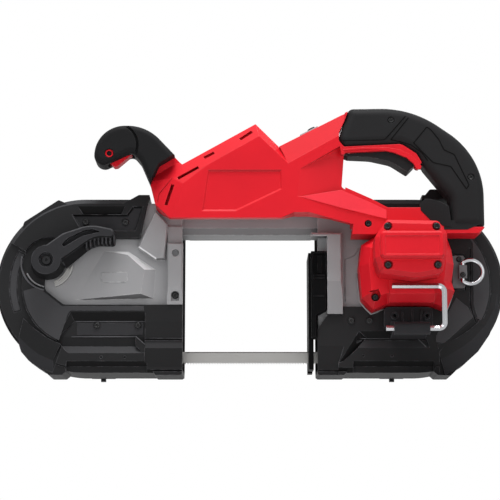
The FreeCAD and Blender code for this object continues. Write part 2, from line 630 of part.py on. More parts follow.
def right_column():
    """Column at the right of the throat, with an open recess for the shoe slider."""
    column = front_prism([(COLUMN_LEFT, COLUMN_LOW), (COLUMN_RIGHT, COLUMN_LOW),
                          (COLUMN_RIGHT, BRIDGE_BOTTOM - 2), (COLUMN_LEFT, BRIDGE_BOTTOM - 2)],
                         COLUMN_FRONT, DECK_FRONT)
    recess = box(COLUMN_LEFT - 1, COLUMN_LEFT + SLIDER_ROOM, COLUMN_FRONT - 1, DECK_FRONT,
                 COLUMN_LOW - 1, SLIDER_HIGH + SHOE_TRAVEL + GAP)
    fall = facet([(COLUMN_LEFT - 1, COLUMN_CREASE), (COLUMN_RIGHT + 1, COLUMN_CREASE), (COLUMN_RIGHT + 1,
                                                                                        COLUMN_LOW - 1),
                  (COLUMN_LEFT - 1, COLUMN_LOW - 1)], COLUMN_FRONT - 1, DECK_FRONT, (COLUMN_LEFT,
                                                                                     COLUMN_FRONT,
                                                                                     COLUMN_CREASE),
                 (COLUMN_RIGHT, COLUMN_FRONT, COLUMN_CREASE), (COLUMN_LEFT, COLUMN_FRONT + 4, COLUMN_LOW))
    return bevelled(column, COLUMN_FRONT, 2.0).cut(recess).cut(fall)


def carriage_rails():
    """Two rails behind the left deck that guide the idler carriage."""
    pieces = []
    for z in (CARRIAGE_LOW - RUN_FIT - RAIL, CARRIAGE_HIGH + RUN_FIT):
        pieces.append(box(CARRIAGE_LEFT, CARRIAGE_RIGHT, DECK_BACK, CARRIAGE_BACK, z, z + RAIL))
    return pieces


PANEL_REACH = 9.0
PLATE_RISE = 0.8


def panel_height(point):
    """Height of the panel's tilted face over the deck, which is none along its upper left side."""
    a, b = PANEL_BASE[-1], PANEL_BASE[0]
    across = (b[0] - a[0]) * (point[1] - a[1]) - (b[1] - a[1]) * (point[0] - a[0])
    return PANEL_TILT * across / math.hypot(b[0] - a[0], b[1] - a[1])


def ahead_of_panel(rise):
    """Block in front of the panel's tilted face, moved out by a rise."""
    corners = [deep(p, DECK_FRONT - rise - panel_height(p)) for p in (PANEL_BASE[-1], PANEL_BASE[0],
                                                                      PANEL_TOP[0])]
    return ahead_of(*corners)


def deck_panel():
    """Cast panel that rises from the deck toward the throat, with sloping sides and a small bare plate."""
    near = DECK_FRONT - PANEL_REACH
    panel = front_prism(PANEL_BASE, near, DECK_FRONT).cut(ahead_of_panel(0))
    for start, end, top in ((0, 1, 0), (1, 2, 1), (2, 3, 1), (3, 4, 2)):
        edge = deep(PANEL_BASE[start], DECK_FRONT), deep(PANEL_BASE[end], DECK_FRONT)
        panel = panel.cut(ahead_of(*edge, deep(PANEL_TOP[top], DECK_FRONT - panel_height(PANEL_TOP[top]))))
    plate = front_prism([(LEFT + 16, WHEEL_HEIGHT - 0.3, 2), (LEFT + 42.7, WHEEL_HEIGHT - 0.3, 2),
                         (LEFT + 42.7, WHEEL_HEIGHT + 10.1, 2), (LEFT + 16, WHEEL_HEIGHT + 10.1, 2)], near,
                         DECK_FRONT)
    return fuse(panel, plate.cut(ahead_of_panel(PLATE_RISE)))


def make_main_frame():
    strut = bevelled(front_prism(STRUT, DECK_FRONT - 8, DECK_FRONT), DECK_FRONT - 8, 1.5)
    column = box(THROAT_LEFT - BLOCK_WIDTH, THROAT_LEFT - 1, DECK_FRONT - BLOCK_SEAT, DECK_FRONT, WINDOW_LOW,
                 WHEEL_HEIGHT + 58)
    boss = rod_y(RIGHT, WHEEL_HEIGHT, LARGE_BEARING + 4, DECK_FRONT - 2, DECK_BACK)
    frame = fuse(deck(False), deck(True), bridge(), deck_panel(), strut, column, right_column(), boss,
                 *carriage_rails())
    frame = frame.cut(rod_y(RIGHT, WHEEL_HEIGHT, LARGE_BEARING, DECK_FRONT - 3, DECK_BACK + 1))
    frame = frame.cut(rod_y(COUNTER_X, COUNTER_Z, BUSH_RADIUS, DECK_FRONT - 1, DECK_BACK + 1))
    return frame.cut(rod_y(LEVER_X, LEVER_Z, CAM_SHAFT_RADIUS + RUN_FIT, DECK_FRONT - 9, DECK_BACK + 1))


def make_bridge_cover():
    plate = front_prism([(-THROAT_RIGHT + 2, BRIDGE_BOTTOM, 4), (THROAT_RIGHT - 2, BRIDGE_BOTTOM, 4),
                         (THROAT_RIGHT - 2, BRIDGE_TOP, 4), (-THROAT_RIGHT + 2, BRIDGE_TOP, 4)],
                        BRIDGE_REAR, BRIDGE_REAR + BRIDGE_COVER)
    return bevelled(plate, BRIDGE_REAR + BRIDGE_COVER, 1.2)


# Wheels and blade

def make_wheel(centre, bore):
    hub = rod_y(centre, WHEEL_HEIGHT, HUB_RADIUS, -HUB_FRONT, RIM_WIDTH / 2)
    rim = ring_y(centre, WHEEL_HEIGHT, RIM_RADIUS, RIM_RADIUS - RIM_WALL, -RIM_WIDTH / 2, RIM_WIDTH / 2)
    web = rod_y(centre, WHEEL_HEIGHT, RIM_RADIUS - 1, -WEB_THICK / 2, WEB_THICK / 2)
    wheel = fuse(hub, rim, web)
    circle = (HUB_RADIUS + RIM_RADIUS - RIM_WALL) / 2
    for index in range(WHEEL_HOLES):
        angle = 2 * math.pi * index / WHEEL_HOLES
        x = centre + circle * math.cos(angle)
        z = WHEEL_HEIGHT + circle * math.sin(angle)
        wheel = wheel.cut(rod_y(x, z, WHEEL_HOLE_RADIUS, -RIM_WIDTH, RIM_WIDTH))
    return wheel.cut(rod_y(centre, WHEEL_HEIGHT, bore, -HUB_FRONT - 1, RIM_WIDTH))


def make_tyre(centre):
    return ring_y(centre, WHEEL_HEIGHT, TYRE_RADIUS, RIM_RADIUS, -RIM_WIDTH / 2, RIM_WIDTH / 2)


def blade_arc(centre, outward):
    """Half turn of the blade around one wheel."""
    half = BLADE_WIDTH / 2
    ring = ring_y(centre, WHEEL_HEIGHT, BLADE_RADIUS + BLADE_THICK, BLADE_RADIUS, -half, half)
    reach = BLADE_RADIUS + 5
    if outward < 0:
        keep = box(centre - reach, centre, -half - 1, half + 1, WHEEL_HEIGHT - reach, WHEEL_HEIGHT + reach)
    else:
        keep = box(centre, centre + reach, -half - 1, half + 1, WHEEL_HEIGHT - reach, WHEEL_HEIGHT + reach)
    return ring.common(keep)


def blade_section(x, angle):
    """Cross-section of the blade, turned about its own centre line."""
    c = math.cos(math.radians(angle))
    s = math.sin(math.radians(angle))
    corners = []
    for u, v in ((-1, -1), (1, -1), (1, 1), (-1, 1)):
        across = u * BLADE_WIDTH / 2
        through = v * BLADE_THICK / 2
        corners.append(at(x, across * c + through * s, BLADE_LOW - across * s + through * c))
    return Part.makePolygon(corners + corners[:1])


def toothed_band():
    """Straight part of the blade in the throat, with a row of raked teeth along one edge."""
    across, normal = blade_axes()
    count = round(2 * TWIST_END / TOOTH_PITCH)
    pitch = 2 * TWIST_END / count
    corners = [(TWIST_END, -BLADE_WIDTH / 2), (-TWIST_END, -BLADE_WIDTH / 2)]
    for index in range(count):
        tip = -TWIST_END + index * pitch
        corners.append((tip, BLADE_WIDTH / 2))
        corners.append((tip + TOOTH_RAKE * pitch, BLADE_WIDTH / 2 - TOOTH_DEPTH))
    corners.append((TWIST_END, BLADE_WIDTH / 2))
    low = -normal * (BLADE_THICK / 2)
    points = [at(x, 0, BLADE_LOW) + across * u + low for x, u in corners]
    return Part.Face(Part.makePolygon(points + points[:1])).extrude(normal * BLADE_THICK)


def make_cutting_run():
    """Lower run: flat off each wheel, then twisted so that its teeth point down in the throat."""
    places = [LEFT]
    angles = [0]
    for step in range(TWIST_STEPS + 1):
        share = step / TWIST_STEPS
        places.append(-TWIST_START + share * (TWIST_START - TWIST_END))
        angles.append(share * BLADE_TWIST)
    ends = []
    for side in (1, -1):
        sections = [blade_section(side * x, a) for x, a in zip(places, angles)]
        ends.append(Part.makeLoft(sections, True, True))
    return fuse(toothed_band(), *ends)


def make_return_run():
    half = BLADE_WIDTH / 2
    top = box(LEFT, RIGHT, -half, half, BLADE_HIGH, BLADE_HIGH + BLADE_THICK)
    return fuse(blade_arc(LEFT, -1), top, blade_arc(RIGHT, 1))


# Tension lever, cam, idler carriage

def make_carriage():
    plate = box(CARRIAGE_LEFT, CARRIAGE_RIGHT, DECK_BACK + GAP, CARRIAGE_BACK, CARRIAGE_LOW, CARRIAGE_HIGH)
    window = box(LEVER_X - CAM_HIGH - CAM_CLEARANCE, LEVER_X + CAM_HIGH + CAM_CLEARANCE, DECK_BACK,
                 CARRIAGE_BACK + 1,
                 LEVER_Z - CAM_HIGH - CAM_CLEARANCE, LEVER_Z + CAM_HIGH + CAM_CLEARANCE)
    axle_seat = rod_y(LEFT, WHEEL_HEIGHT, SHAFT_RADIUS, DECK_BACK, CARRIAGE_BACK + 1)
    return plate.cut(window).cut(axle_seat)


def make_cam():
    """Shaft with a screw head and a spiral cam, whose radius falls evenly over the half turn of the lever."""
    steps = 16
    corners = []
    for index in range(2 * steps):
        turn = math.pi * index / steps
        radius = CAM_HIGH - TENSION_TRAVEL * min(turn, math.pi) / math.pi
        if turn > math.pi:
            radius = CAM_HIGH - TENSION_TRAVEL + TENSION_TRAVEL * (turn - math.pi) / math.pi
        corners.append((LEVER_X - radius * math.cos(turn), LEVER_Z - radius * math.sin(turn)))
    cam = front_prism(corners, DECK_BACK + 2 * GAP, CARRIAGE_BACK)
    front = LEVER_FRONT + LEVER_EYE_DEPTH
    shaft = rod_y(LEVER_X, LEVER_Z, CAM_SHAFT_RADIUS, front, CARRIAGE_BACK)
    head = rod_y(LEVER_X, LEVER_Z, CAM_SHAFT_RADIUS - 1, front - SCREW_HEAD, front)
    head = head.makeChamfer(SCREW_HEAD / 3, front_edges(head, front - SCREW_HEAD))
    socket = rod_y(LEVER_X, LEVER_Z, SCREW_RADIUS / 2, front - SCREW_HEAD - 1, front)
    return fuse(cam, shaft, head).cut(socket)


LEVER_BACK = [(-6, 11), (16, 27, 16), (44, 36.5, 40), (69, 31.5, 4), (69, 16.5, 3), (47, 17.5, 26), (19, -6)]
LEVER_FACE = [(-6, 11), (16, 27, 16), (44, 36.5, 40), (68, 31.5, 4), (68, 23, 3), (48, 23.5, 26), (16, 0)]
LEVER_RECESS = [(15.7, 15.7), (21.5, 22.2), (37.2, 30, 20), (47.2, 31.8), (54.6, 28.6), (36.4, 24.4, 30),
                (17.6, 12.9)]
LEVER_RECESS_DEPTH = 6.0
LEVER_EYE = 7.5
LEVER_EYE_DEPTH = 5.0
LEVER_BACK_DEPTH = GUARD_FRONT - 2
FIN_WIDTH = 1.2
FIN_PITCH = 4.0
FIN_COUNT = 8


def on_lever(points):
    return [(LEVER_X + p[0], LEVER_Z + p[1]) + tuple(p[2:]) for p in points]


def lever_fins(outline):
    """Row of thin fins on the sloping underside of the arm, out to its back outline."""
    fins = []
    for index in range(FIN_COUNT):
        left = LEVER_X + LEVER_FACE[-2][0] - 2 * FIN_PITCH + index * FIN_PITCH
        slab = box(left, left + FIN_WIDTH, LEVER_FRONT + 2, LEVER_BACK_DEPTH, LEVER_Z,
                   LEVER_Z + LEVER_FACE[-3][1] + 2)
        fins.append(slab.common(outline))
    return fins


def make_lever():
    """Lever: cone-shaped boss, curved arm with a hollow in its face and fins under it."""
    near = LEVER_FRONT
    far = LEVER_BACK_DEPTH
    boss = Part.makeCone(LEVER_BOSS + 3, LEVER_BOSS, far - near, at(LEVER_X, far, LEVER_Z), Vector(0, -1, 0))
    face = rounded_wire(on_lever(LEVER_FACE), lambda p: at(p.x, near, p.y))
    back = rounded_wire(on_lever(LEVER_BACK), lambda p: at(p.x, far, p.y))
    arm = bevelled(Part.makeLoft([face, back], True, True), near, 1.2)
    lever = fuse(boss, arm, *lever_fins(front_prism(on_lever(LEVER_BACK), near, far)))
    lever = lever.cut(front_prism(on_lever(LEVER_RECESS), near - 1, near + LEVER_RECESS_DEPTH))
    lever = lever.cut(rod_y(LEVER_X, LEVER_Z, LEVER_EYE, near - 1, near + LEVER_EYE_DEPTH))
    return lever.cut(rod_y(LEVER_X, LEVER_Z, CAM_SHAFT_RADIUS, near + LEVER_EYE_DEPTH - 1, far + 1))


def make_lever_stop():
    """Steel crescent with two raised edges on the deck, which ends the lever's swing."""
    ring = ring_y(LEVER_X, LEVER_Z, LEVER_BOSS + 10, LEVER_BOSS + 4, DECK_FRONT - 5, DECK_FRONT)
    wedge = front_prism([(LEVER_X, LEVER_Z), (LEVER_X + 40, LEVER_Z - 4), (LEVER_X + 12, LEVER_Z - 40)],
                        DECK_FRONT - 6, DECK_FRONT)
    groove = ring_y(LEVER_X, LEVER_Z, LEVER_BOSS + 8.5, LEVER_BOSS + 5.5, DECK_FRONT - 6, DECK_FRONT - 2)
    return ring.common(wedge).cut(groove)


# Gears and motor

BUSH_RADIUS = 7.0


def counter_axis():
    """Axis of the intermediate gear, where the two centre distances meet."""
    first = FIRST_MODULE * (FIRST_PINION_TEETH + FIRST_GEAR_TEETH) / 2
    second = SECOND_MODULE * (SECOND_PINION_TEETH + SECOND_GEAR_TEETH) / 2
    apart = math.hypot(*MOTOR_OFFSET)
    along = (second ** 2 - first ** 2 + apart ** 2) / (2 * apart)
    aside = math.sqrt(second ** 2 - along ** 2)
    ux, uz = MOTOR_OFFSET[0] / apart, MOTOR_OFFSET[1] / apart
    return RIGHT + along * ux - aside * uz, WHEEL_HEIGHT + along * uz + aside * ux


COUNTER_X, COUNTER_Z = counter_axis()
TIP = 0.85
ROOT = 1.25
TIP_SHARE = 0.10
ROOT_SHARE = 0.27


def gear(x, z, teeth, module, near, far, phase):
    """Spur gear of straight-flanked teeth; one tooth is centred on the phase angle."""
    pitch = 2 * math.pi / teeth
    tip = module * (teeth / 2 + TIP)
    root = module * (teeth / 2 - ROOT)
    corners = []
    for index in range(teeth):
        middle = phase + index * pitch
        for radius, share in ((root, -ROOT_SHARE), (tip, -TIP_SHARE), (tip, TIP_SHARE), (root, ROOT_SHARE)):
            angle = middle + share * pitch
            corners.append((x + radius * math.cos(angle), z + radius * math.sin(angle)))
    return front_prism(corners, near, far)


def mesh_phases(teeth_b, ax, az, bx, bz):
    """A tooth of the first gear points at the second, which has a gap there."""
    toward = math.atan2(bz - az, bx - ax)
    return toward, toward + math.pi + math.pi / teeth_b


PLATE_BACK = BASE_FRONT + MOTOR_WALL + GEAR_PLATE
FIRST_NEAR = PLATE_BACK + 2
FIRST_FAR = FIRST_NEAR + FIRST_WIDTH
SECOND_NEAR = FIRST_FAR + 2
SECOND_FAR = SECOND_NEAR + SECOND_WIDTH
ROTOR_NEAR = CAP_FRONT + 5
STATOR_NEAR = CAP_FRONT + 11
STATOR_FAR = BASE_FRONT - 9


def make_rotor():
    toward, _ = mesh_phases(FIRST_GEAR_TEETH, MOTOR_X, MOTOR_Z, COUNTER_X, COUNTER_Z)
    pinion = gear(MOTOR_X, MOTOR_Z, FIRST_PINION_TEETH, FIRST_MODULE, FIRST_NEAR, FIRST_FAR, toward)
    pinion_neck = FIRST_MODULE * (FIRST_PINION_TEETH / 2 - ROOT)
    shaft = rod_y(MOTOR_X, MOTOR_Z, ROTOR_SHAFT, ROTOR_NEAR, PLATE_BACK)
    neck = rod_y(MOTOR_X, MOTOR_Z, pinion_neck, PLATE_BACK - 1, FIRST_NEAR + 1)
    core = rod_y(MOTOR_X, MOTOR_Z, ROTOR_RADIUS, STATOR_NEAR, STATOR_FAR)
    return fuse(core, shaft, neck, pinion)


def make_counter_gear():
    _, gap_phase = mesh_phases(FIRST_GEAR_TEETH, MOTOR_X, MOTOR_Z, COUNTER_X, COUNTER_Z)
    toward, _ = mesh_phases(SECOND_GEAR_TEETH, COUNTER_X, COUNTER_Z, RIGHT, WHEEL_HEIGHT)
    large = gear(COUNTER_X, COUNTER_Z, FIRST_GEAR_TEETH, FIRST_MODULE, FIRST_NEAR, FIRST_FAR, gap_phase)
    small = gear(COUNTER_X, COUNTER_Z, SECOND_PINION_TEETH, SECOND_MODULE, FIRST_FAR - 0.5, SECOND_FAR,
                 toward)
    neck = SECOND_MODULE * (SECOND_PINION_TEETH / 2 - ROOT)
    shaft = rod_y(COUNTER_X, COUNTER_Z, neck, PLATE_BACK - GEAR_PLATE, DECK_BACK)
    return fuse(large, small, shaft)


def counter_bush(near, far):
    inner = SECOND_MODULE * (SECOND_PINION_TEETH / 2 - ROOT) + RUN_FIT
    return ring_y(COUNTER_X, COUNTER_Z, BUSH_RADIUS, inner, near, far)


def make_drive_gear():
    _, gap_phase = mesh_phases(SECOND_GEAR_TEETH, COUNTER_X, COUNTER_Z, RIGHT, WHEEL_HEIGHT)
    wheel = gear(RIGHT, WHEEL_HEIGHT, SECOND_GEAR_TEETH, SECOND_MODULE, SECOND_NEAR, SECOND_FAR, gap_phase)
    return wheel.cut(rod_y(RIGHT, WHEEL_HEIGHT, SHAFT_RADIUS, SECOND_NEAR - 1, SECOND_FAR + 1))


def make_drive_shaft():
    body = rod_y(RIGHT, WHEEL_HEIGHT, SHAFT_RADIUS, SECOND_NEAR, RIM_WIDTH / 2)
    nose = rod_y(RIGHT, WHEEL_HEIGHT, NOSE_RADIUS, PLATE_BACK - GEAR_PLATE, SECOND_NEAR + 1)
    flange = rod_y(RIGHT, WHEEL_HEIGHT, HUB_RADIUS - 6, RIM_WIDTH / 2, RIM_WIDTH / 2 + 3)
    return fuse(body, nose, flange)


def base_point(dx, dz, radius=0):
    return (RIGHT + dx, WHEEL_HEIGHT + dz, radius)


BASE_OUTLINE = [base_point(-42, 42), base_point(-56, 33), base_point(-58.5, 12), base_point(-56, -21),
                base_point(-45, -33), base_point(-30.5, -27), base_point(17, -27), base_point(30, -32),
                base_point(37.5, -14), base_point(34.5, -5), base_point(37, 13), base_point(35, 28),
                base_point(29, 45)]
CAP_OUTLINE = [base_point(-45.7, 33, 5), base_point(-45.8, 12, 8), base_point(-41, -3, 5), base_point(-6,
                                                                                                      -8, 30),
               base_point(20, -3, 5), base_point(24.5, 14, 8), base_point(25.5, 36, 5), base_point(17, 49, 5),
               base_point(-34, 50, 5)]
PANEL_OUTLINE = [base_point(-41, 10, 4), base_point(21.5, 10, 4), base_point(22, 37, 4), base_point(-41, 37,
                                                                                                    4)]


def motor_chin():
    """Block under the cap whose face falls back to the clip."""
    low = WHEEL_HEIGHT - CHIN_DROP
    return side_prism([(SKIRT_BACK, low), (CHIN_FRONT + 7, low), (CHIN_FRONT, WHEEL_HEIGHT - CHIN_CREASE),
                       (CHIN_FRONT, WHEEL_HEIGHT), (SKIRT_BACK, WHEEL_HEIGHT)], RIGHT - 29.4, RIGHT + 15.7)


CHIN_FRONT = -79.0
CHIN_DROP = 27.0
CHIN_CREASE = 19.0


def make_motor_housing():
    """Base of the motor with a skirt that slopes up to the cap."""
    base = front_prism(BASE_OUTLINE, SKIRT_BACK, DECK_FRONT)
    skirt = tapered(BASE_OUTLINE, SKIRT_SLOPE, SKIRT_FRONT, SKIRT_BACK)
    base = fuse(base, skirt, motor_chin()).cut(front_prism(CAP_OUTLINE, CAP_FRONT, BASE_FRONT))
    base = base.cut(inset(BASE_OUTLINE, MOTOR_WALL, BASE_FRONT + MOTOR_WALL, DECK_FRONT + 1))
    throat = rod_y(MOTOR_X, MOTOR_Z, STATOR_RADIUS, BASE_FRONT - 1, BASE_FRONT + MOTOR_WALL + 1)
    x, z = FLANGE_SCREW
    seat = rod_y(x, z, SCREW_RADIUS + 1, CAP_FRONT, FLANGE_SEAT)
    notch = front_prism([(x - 7, z + 5), (x + 3, z + 7), (x + 5, z)], CAP_FRONT, FLANGE_SEAT)
    return base.cut(throat).cut(seat).cut(notch)


LABEL = [(RIGHT - 36.5, WHEEL_HEIGHT + 13.5), (RIGHT + 16.8, WHEEL_HEIGHT + 13.5), (RIGHT + 16.8,
                                                                                    WHEEL_HEIGHT + 32),
         (RIGHT - 36.5, WHEEL_HEIGHT + 32)]
LABEL_DEPTH = 0.8


def make_motor_cap():
    cap = bevelled(front_prism(CAP_OUTLINE, CAP_FRONT, BASE_FRONT), CAP_FRONT, 4.0)
    panel = bevelled(front_prism(PANEL_OUTLINE, PANEL_FRONT, CAP_FRONT + 1), PANEL_FRONT, 2.0)
    cap = fuse(cap, panel).cut(pocket(LABEL, 0.4, PANEL_FRONT, LABEL_DEPTH))
    cap = cap.cut(inset(CAP_OUTLINE, MOTOR_WALL, CAP_FRONT + 5, BASE_FRONT + 1))
    cap = fuse(cap, ring_y(MOTOR_X, MOTOR_Z, SMALL_BEARING + 3, SMALL_BEARING, CAP_FRONT + 4, CAP_FRONT + 11))
    for x, z in CAP_SCREWS:
        cap = cap.cut(rod_y(x, z, SCREW_RADIUS + 1, CAP_FRONT - 9, CAP_FRONT + SCREW_HEAD))
    return cap


FLANGE_SCREW = (RIGHT - 43, WHEEL_HEIGHT - 21)
CAP_SCREWS = [(RIGHT - 33.4, WHEEL_HEIGHT + 43), (RIGHT + 15, WHEEL_HEIGHT + 43),
              (RIGHT - 33.4, WHEEL_HEIGHT + 4.5), (RIGHT + 15.6, WHEEL_HEIGHT + 4.5)]


def make_gear_plate():
    plate = inset(BASE_OUTLINE, MOTOR_WALL, BASE_FRONT + MOTOR_WALL, PLATE_BACK)
    for x, z, radius in ((MOTOR_X, MOTOR_Z, SMALL_BEARING), (RIGHT, WHEEL_HEIGHT, SMALL_BEARING),
                         (COUNTER_X, COUNTER_Z, BUSH_RADIUS)):
        plate = plate.cut(rod_y(x, z, radius, BASE_FRONT, PLATE_BACK + 1))
    return plate


def make_stator():
    ring = ring_y(MOTOR_X, MOTOR_Z, STATOR_RADIUS, ROTOR_RADIUS + AIR_GAP, STATOR_NEAR, STATOR_FAR)
    for index in range(6):
        angle = math.pi * index / 3
        x = MOTOR_X + 19 * math.cos(angle)
        z = MOTOR_Z + 19 * math.sin(angle)
        ring = ring.cut(rod_y(x, z, 2.4, STATOR_NEAR - 1, STATOR_FAR + 1))
    return ring


# Housing, grip and handles. Heights are measured from the top of the bridge, places across
# from the left edge of the throat, its middle or the axis of the drive wheel.

def from_throat(*points):
    return [(THROAT_LEFT + p[0], BRIDGE_TOP + p[1]) + tuple(p[2:]) for p in points]


def from_middle(*points):
    return [(p[0], BRIDGE_TOP + p[1]) + tuple(p[2:]) for p in points]


def from_drive(*points):
    return [(RIGHT + p[0], BRIDGE_TOP + p[1]) + tuple(p[2:]) for p in points]


def deep(point, depth):
    """A front-view corner set at one depth."""
    return (point[0], depth, point[1])


HANDLE_SEAT = from_throat((-32.9, 8.4), (-24, 28.2, 4), (-8, 38))
ROOF_LOW = from_middle((30, 47.5))[0]
ROOF_HIGH = from_drive((-75.7, 79.7))[0]
PEAK = from_middle((5.7, 72.3))[0]
HEAD_OUTLINE = HANDLE_SEAT[2:] + from_throat((-0.5, 30)) + [PEAK, ROOF_LOW, ROOF_HIGH] + from_drive(
    (-68, 83), (-78, 61, 4), (-78.5, 52, 4), (-73.3, 45.8, 3), (-14.7, 48.6, 10), (1.6, 37.8, 5), (7.6,
                                                                                                   26.3, 2),
    (2, 28), (-14.8, 42.3, 8), (-72.9, 39.6, 3), (-75.6, 4.9, 3), (-47, -8, 4), (-29.4, -17.5, 4), (27,
                                                                                                    -17.5),
    (34.5, -37.5), (68, -37.5), (68, -38.5), (62, -44), (-41, -44), (-42, -45), (-65.8, -45), (-64.3, -34.8),
    (-109, -22.4), (-124.2, -22.4), (-137.5, -28.1)) + from_throat((-12.4, -28.1), (-27.6, -12.6,
                                                                                    2)) + HANDLE_SEAT[:2]
HEAD_HOLLOW = from_throat((4, 6), (4, 16)) + from_middle((1, 52), (29, 30), (43, 34), (43, 6))
GRIP = from_drive((-73.3, 45.8, 3), (-79, 54, 5), (-67.5, 86.5, 6), (-3.3, 87.5, 100), (69, 37, 80), (69,
                                                                                                      -37.5,
                                                                                                      4),
                  (34.5, -37.5, 2), (34.5, -8, 14), (9, 24, 4), (0, 39.5, 6), (-14.7, 48.6, 8))
TRIGGER = from_drive((-72.5, 38.5), (-71.5, 45), (-63, 46), (-19, 48, 4), (0.5, 29, 3), (-8.2, 20.2, 2),
                     (-25.2, 31.2, 20), (-46, 35.9, 40), (-69, 37))
TRIGGER_PIVOT = from_drive((-68, 41.5))[0]
TRIGGER_ROOM = from_drive((-73.1, 36), (-73.1, 52), (-59, 56), (1, 62), (8, 30), (2, 18))
FRONT_HANDLE = from_throat((-90, 22.2, 9.4), (-90, 68.7, 31), (-36.8, 68.5,
                                                               45)) + HANDLE_SEAT[::-1] + from_throat(
    (-42.6, 30.8, 10), (-50.9, 40.8, 6.5))
FRONT_TRIGGER = from_throat((-74.5, 31.5), (-70, 27, 1.5), (-66.5, 27.4, 2), (-52, 40), (-53, 46), (-72, 38,
                                                                                                    2))
FRONT_PIVOT = from_throat((-55.5, 42.5))[0]
FRONT_ROOM = from_throat((-76.5, 26), (-76.5, 48), (-50.5, 53), (-48.5, 39))
HANDLE_ROUND = 6.0
POMMEL = from_throat((-74.5, 38.6))[0]
POMMEL_RADIUS = 4.6
POMMEL_CENTRE = from_throat((-68.6, 46.9))[0]
POMMEL_EDGE = (21.6, 24.2)
POMMEL_GROOVE = 4.0
GRIP_SCREWS = from_drive((-25, 73.2), (55.4, 13.7))
SCREW_SINK = 3.0
ARM_SCREW = from_drive((-49.4, -34.1))[0]

# Creases and recesses on the front of the housing
SIDE_CREASE = from_throat((-9.9, -29.8), (0.7, 7.1), (26.3, 27)) + from_middle((9.2, 56.8))
PEAK_FOOT = from_middle((38.7, 28.6))[0]
ROOF_CREASE = from_middle((40.1, 27.3)) + from_drive((-77.1, 57.8))
THUMB = from_drive((-121, -6), (-118.1, 22.3), (-77.3, 46.3), (-76, 37.5), (-72, 37.5), (-72, 1), (-77.7,
                                                                                                   0.2))
LEDGE = from_drive((-121, -6), (-77.7, 0.2), (-57.5, -7.8), (-57.6, -23.3))
BADGE = from_middle((-42.7, 21.6), (32, 21.6), (32.5, 1.5), (-14.2, -21.2), (-48.6, -21.2))
BADGE_DEPTH = 1.5
VENTS = [from_throat((-4.4, 13.2), (16.4, 24.7)), from_throat((-16.4, -14.3), (-9.5, 7)),
         from_middle((-10.2, 54.6), (2, 63)), from_throat((22, 35.7), (32.2, 41))]
VENT_WIDTH = 3.2
SEAM = from_throat((-6.9, 18), (-23.5, -1.8), (-25.5, -11.1))
SEAM_WIDTH = 0.8
SIDE_FALL = 13.0
ROOF_FALL = 12.0
RIGHT_FALL = 6.0
THUMB_FALL = 9.0


def strip(a, b, width):
    """Corners of a straight strip between two front-view points."""
    length = math.hypot(b[0] - a[0], b[1] - a[1])
    u = (b[0] - a[0]) / length * width / 2
    v = (b[1] - a[1]) / length * width / 2
    return [(a[0] - v, a[1] + u), (b[0] - v, b[1] + u), (b[0] + v, b[1] - u), (a[0] + v, a[1] - u)]


def side_plane(extra):
    """Plane of the left side facet, set back by an extra depth."""
    front = HEAD_FRONT + extra
    return deep(SIDE_CREASE[0], front), deep(SIDE_CREASE[1], front), deep(HANDLE_SEAT[0], front + SIDE_FALL)


def head_cuts():
    """Cutters for the housing's front: side and roof facets, thumb relief, badge place, vents and seam."""
    front = HEAD_FRONT
    off = front - 1
    cuts = [ahead_of(*side_plane(0))]
    cuts.append(ahead_of(deep(SIDE_CREASE[1], front), deep(SIDE_CREASE[2], front),
                         deep(HANDLE_SEAT[2], front + ROOF_FALL)))
    cuts.append(ahead_of(deep(SIDE_CREASE[2], front), deep(SIDE_CREASE[3], front), deep(PEAK,
                                                                                        front + ROOF_FALL)))
    beyond = from_middle((31, 60))[0]
    cuts.append(facet([SIDE_CREASE[3], PEAK_FOOT, ROOF_LOW, beyond, PEAK], off, HANDLE_PLANE,
                      deep(SIDE_CREASE[3], front), deep(PEAK_FOOT, front), deep(PEAK, front + ROOF_FALL)))
    over = from_middle((30, 62)) + from_drive((-72, 92), (-72, 60.8))
    middle = from_middle((60, 63))[0]
    cuts.append(facet([PEAK_FOOT, ROOF_LOW] + over, off, HANDLE_PLANE,
                      deep(ROOF_CREASE[0], front), deep(ROOF_CREASE[1], front), deep(middle,
                                                                                     front + RIGHT_FALL)))
    cuts.append(facet(THUMB, off, HANDLE_PLANE, deep(THUMB[0], front), deep(THUMB[1], front),
                      deep(THUMB[5], front + THUMB_FALL)))
    cuts.append(facet(LEDGE, off, HANDLE_PLANE, deep(LEDGE[0], front), deep(LEDGE[3], front),
                      deep(LEDGE[1], front + THUMB_FALL)))
    cuts.append(pocket(BADGE, 1.6, front, BADGE_DEPTH))
    for start, end in VENTS:
        cuts.append(front_prism(strip(start, end, VENT_WIDTH), off, HANDLE_PLANE - 2))
    for start, end in zip(SEAM, SEAM[1:]):
        cuts.append(front_prism(strip(start, end, SEAM_WIDTH), off,
                                HANDLE_PLANE).common(ahead_of(*side_plane(1))))
    cuts.append(rod_y(ARM_SCREW[0], ARM_SCREW[1], SCREW_RADIUS, off, front + 2 * SCREW_SINK))
    return cuts


def under_slope():
    """The underside of the housing rises toward the frame behind it."""
    drop = BRIDGE_TOP - 28.1
    return side_prism([(HEAD_FRONT + 9, drop - 20), (HEAD_FRONT + 9, drop), (DECK_FRONT, drop + 12),
                       (DECK_FRONT, drop - 20)], THROAT_LEFT - 30, THROAT_RIGHT + 34)


def head_half(near, far):
    """One half of the housing, clear of the grip and the motor, with a hollow inside."""
    half = front_prism(HEAD_OUTLINE, near, far)
    half = half.cut(front_prism(GRIP, near - 1, far + 1))
    half = half.cut(inset(CAP_OUTLINE, -GAP, CAP_FRONT, BASE_FRONT))
    half = half.cut(inset(BASE_OUTLINE, -GAP, SKIRT_FRONT - GAP, DECK_FRONT))
    return half.cut(front_prism(HEAD_HOLLOW, HEAD_FRONT + HEAD_WALL, HEAD_REAR - HEAD_WALL))


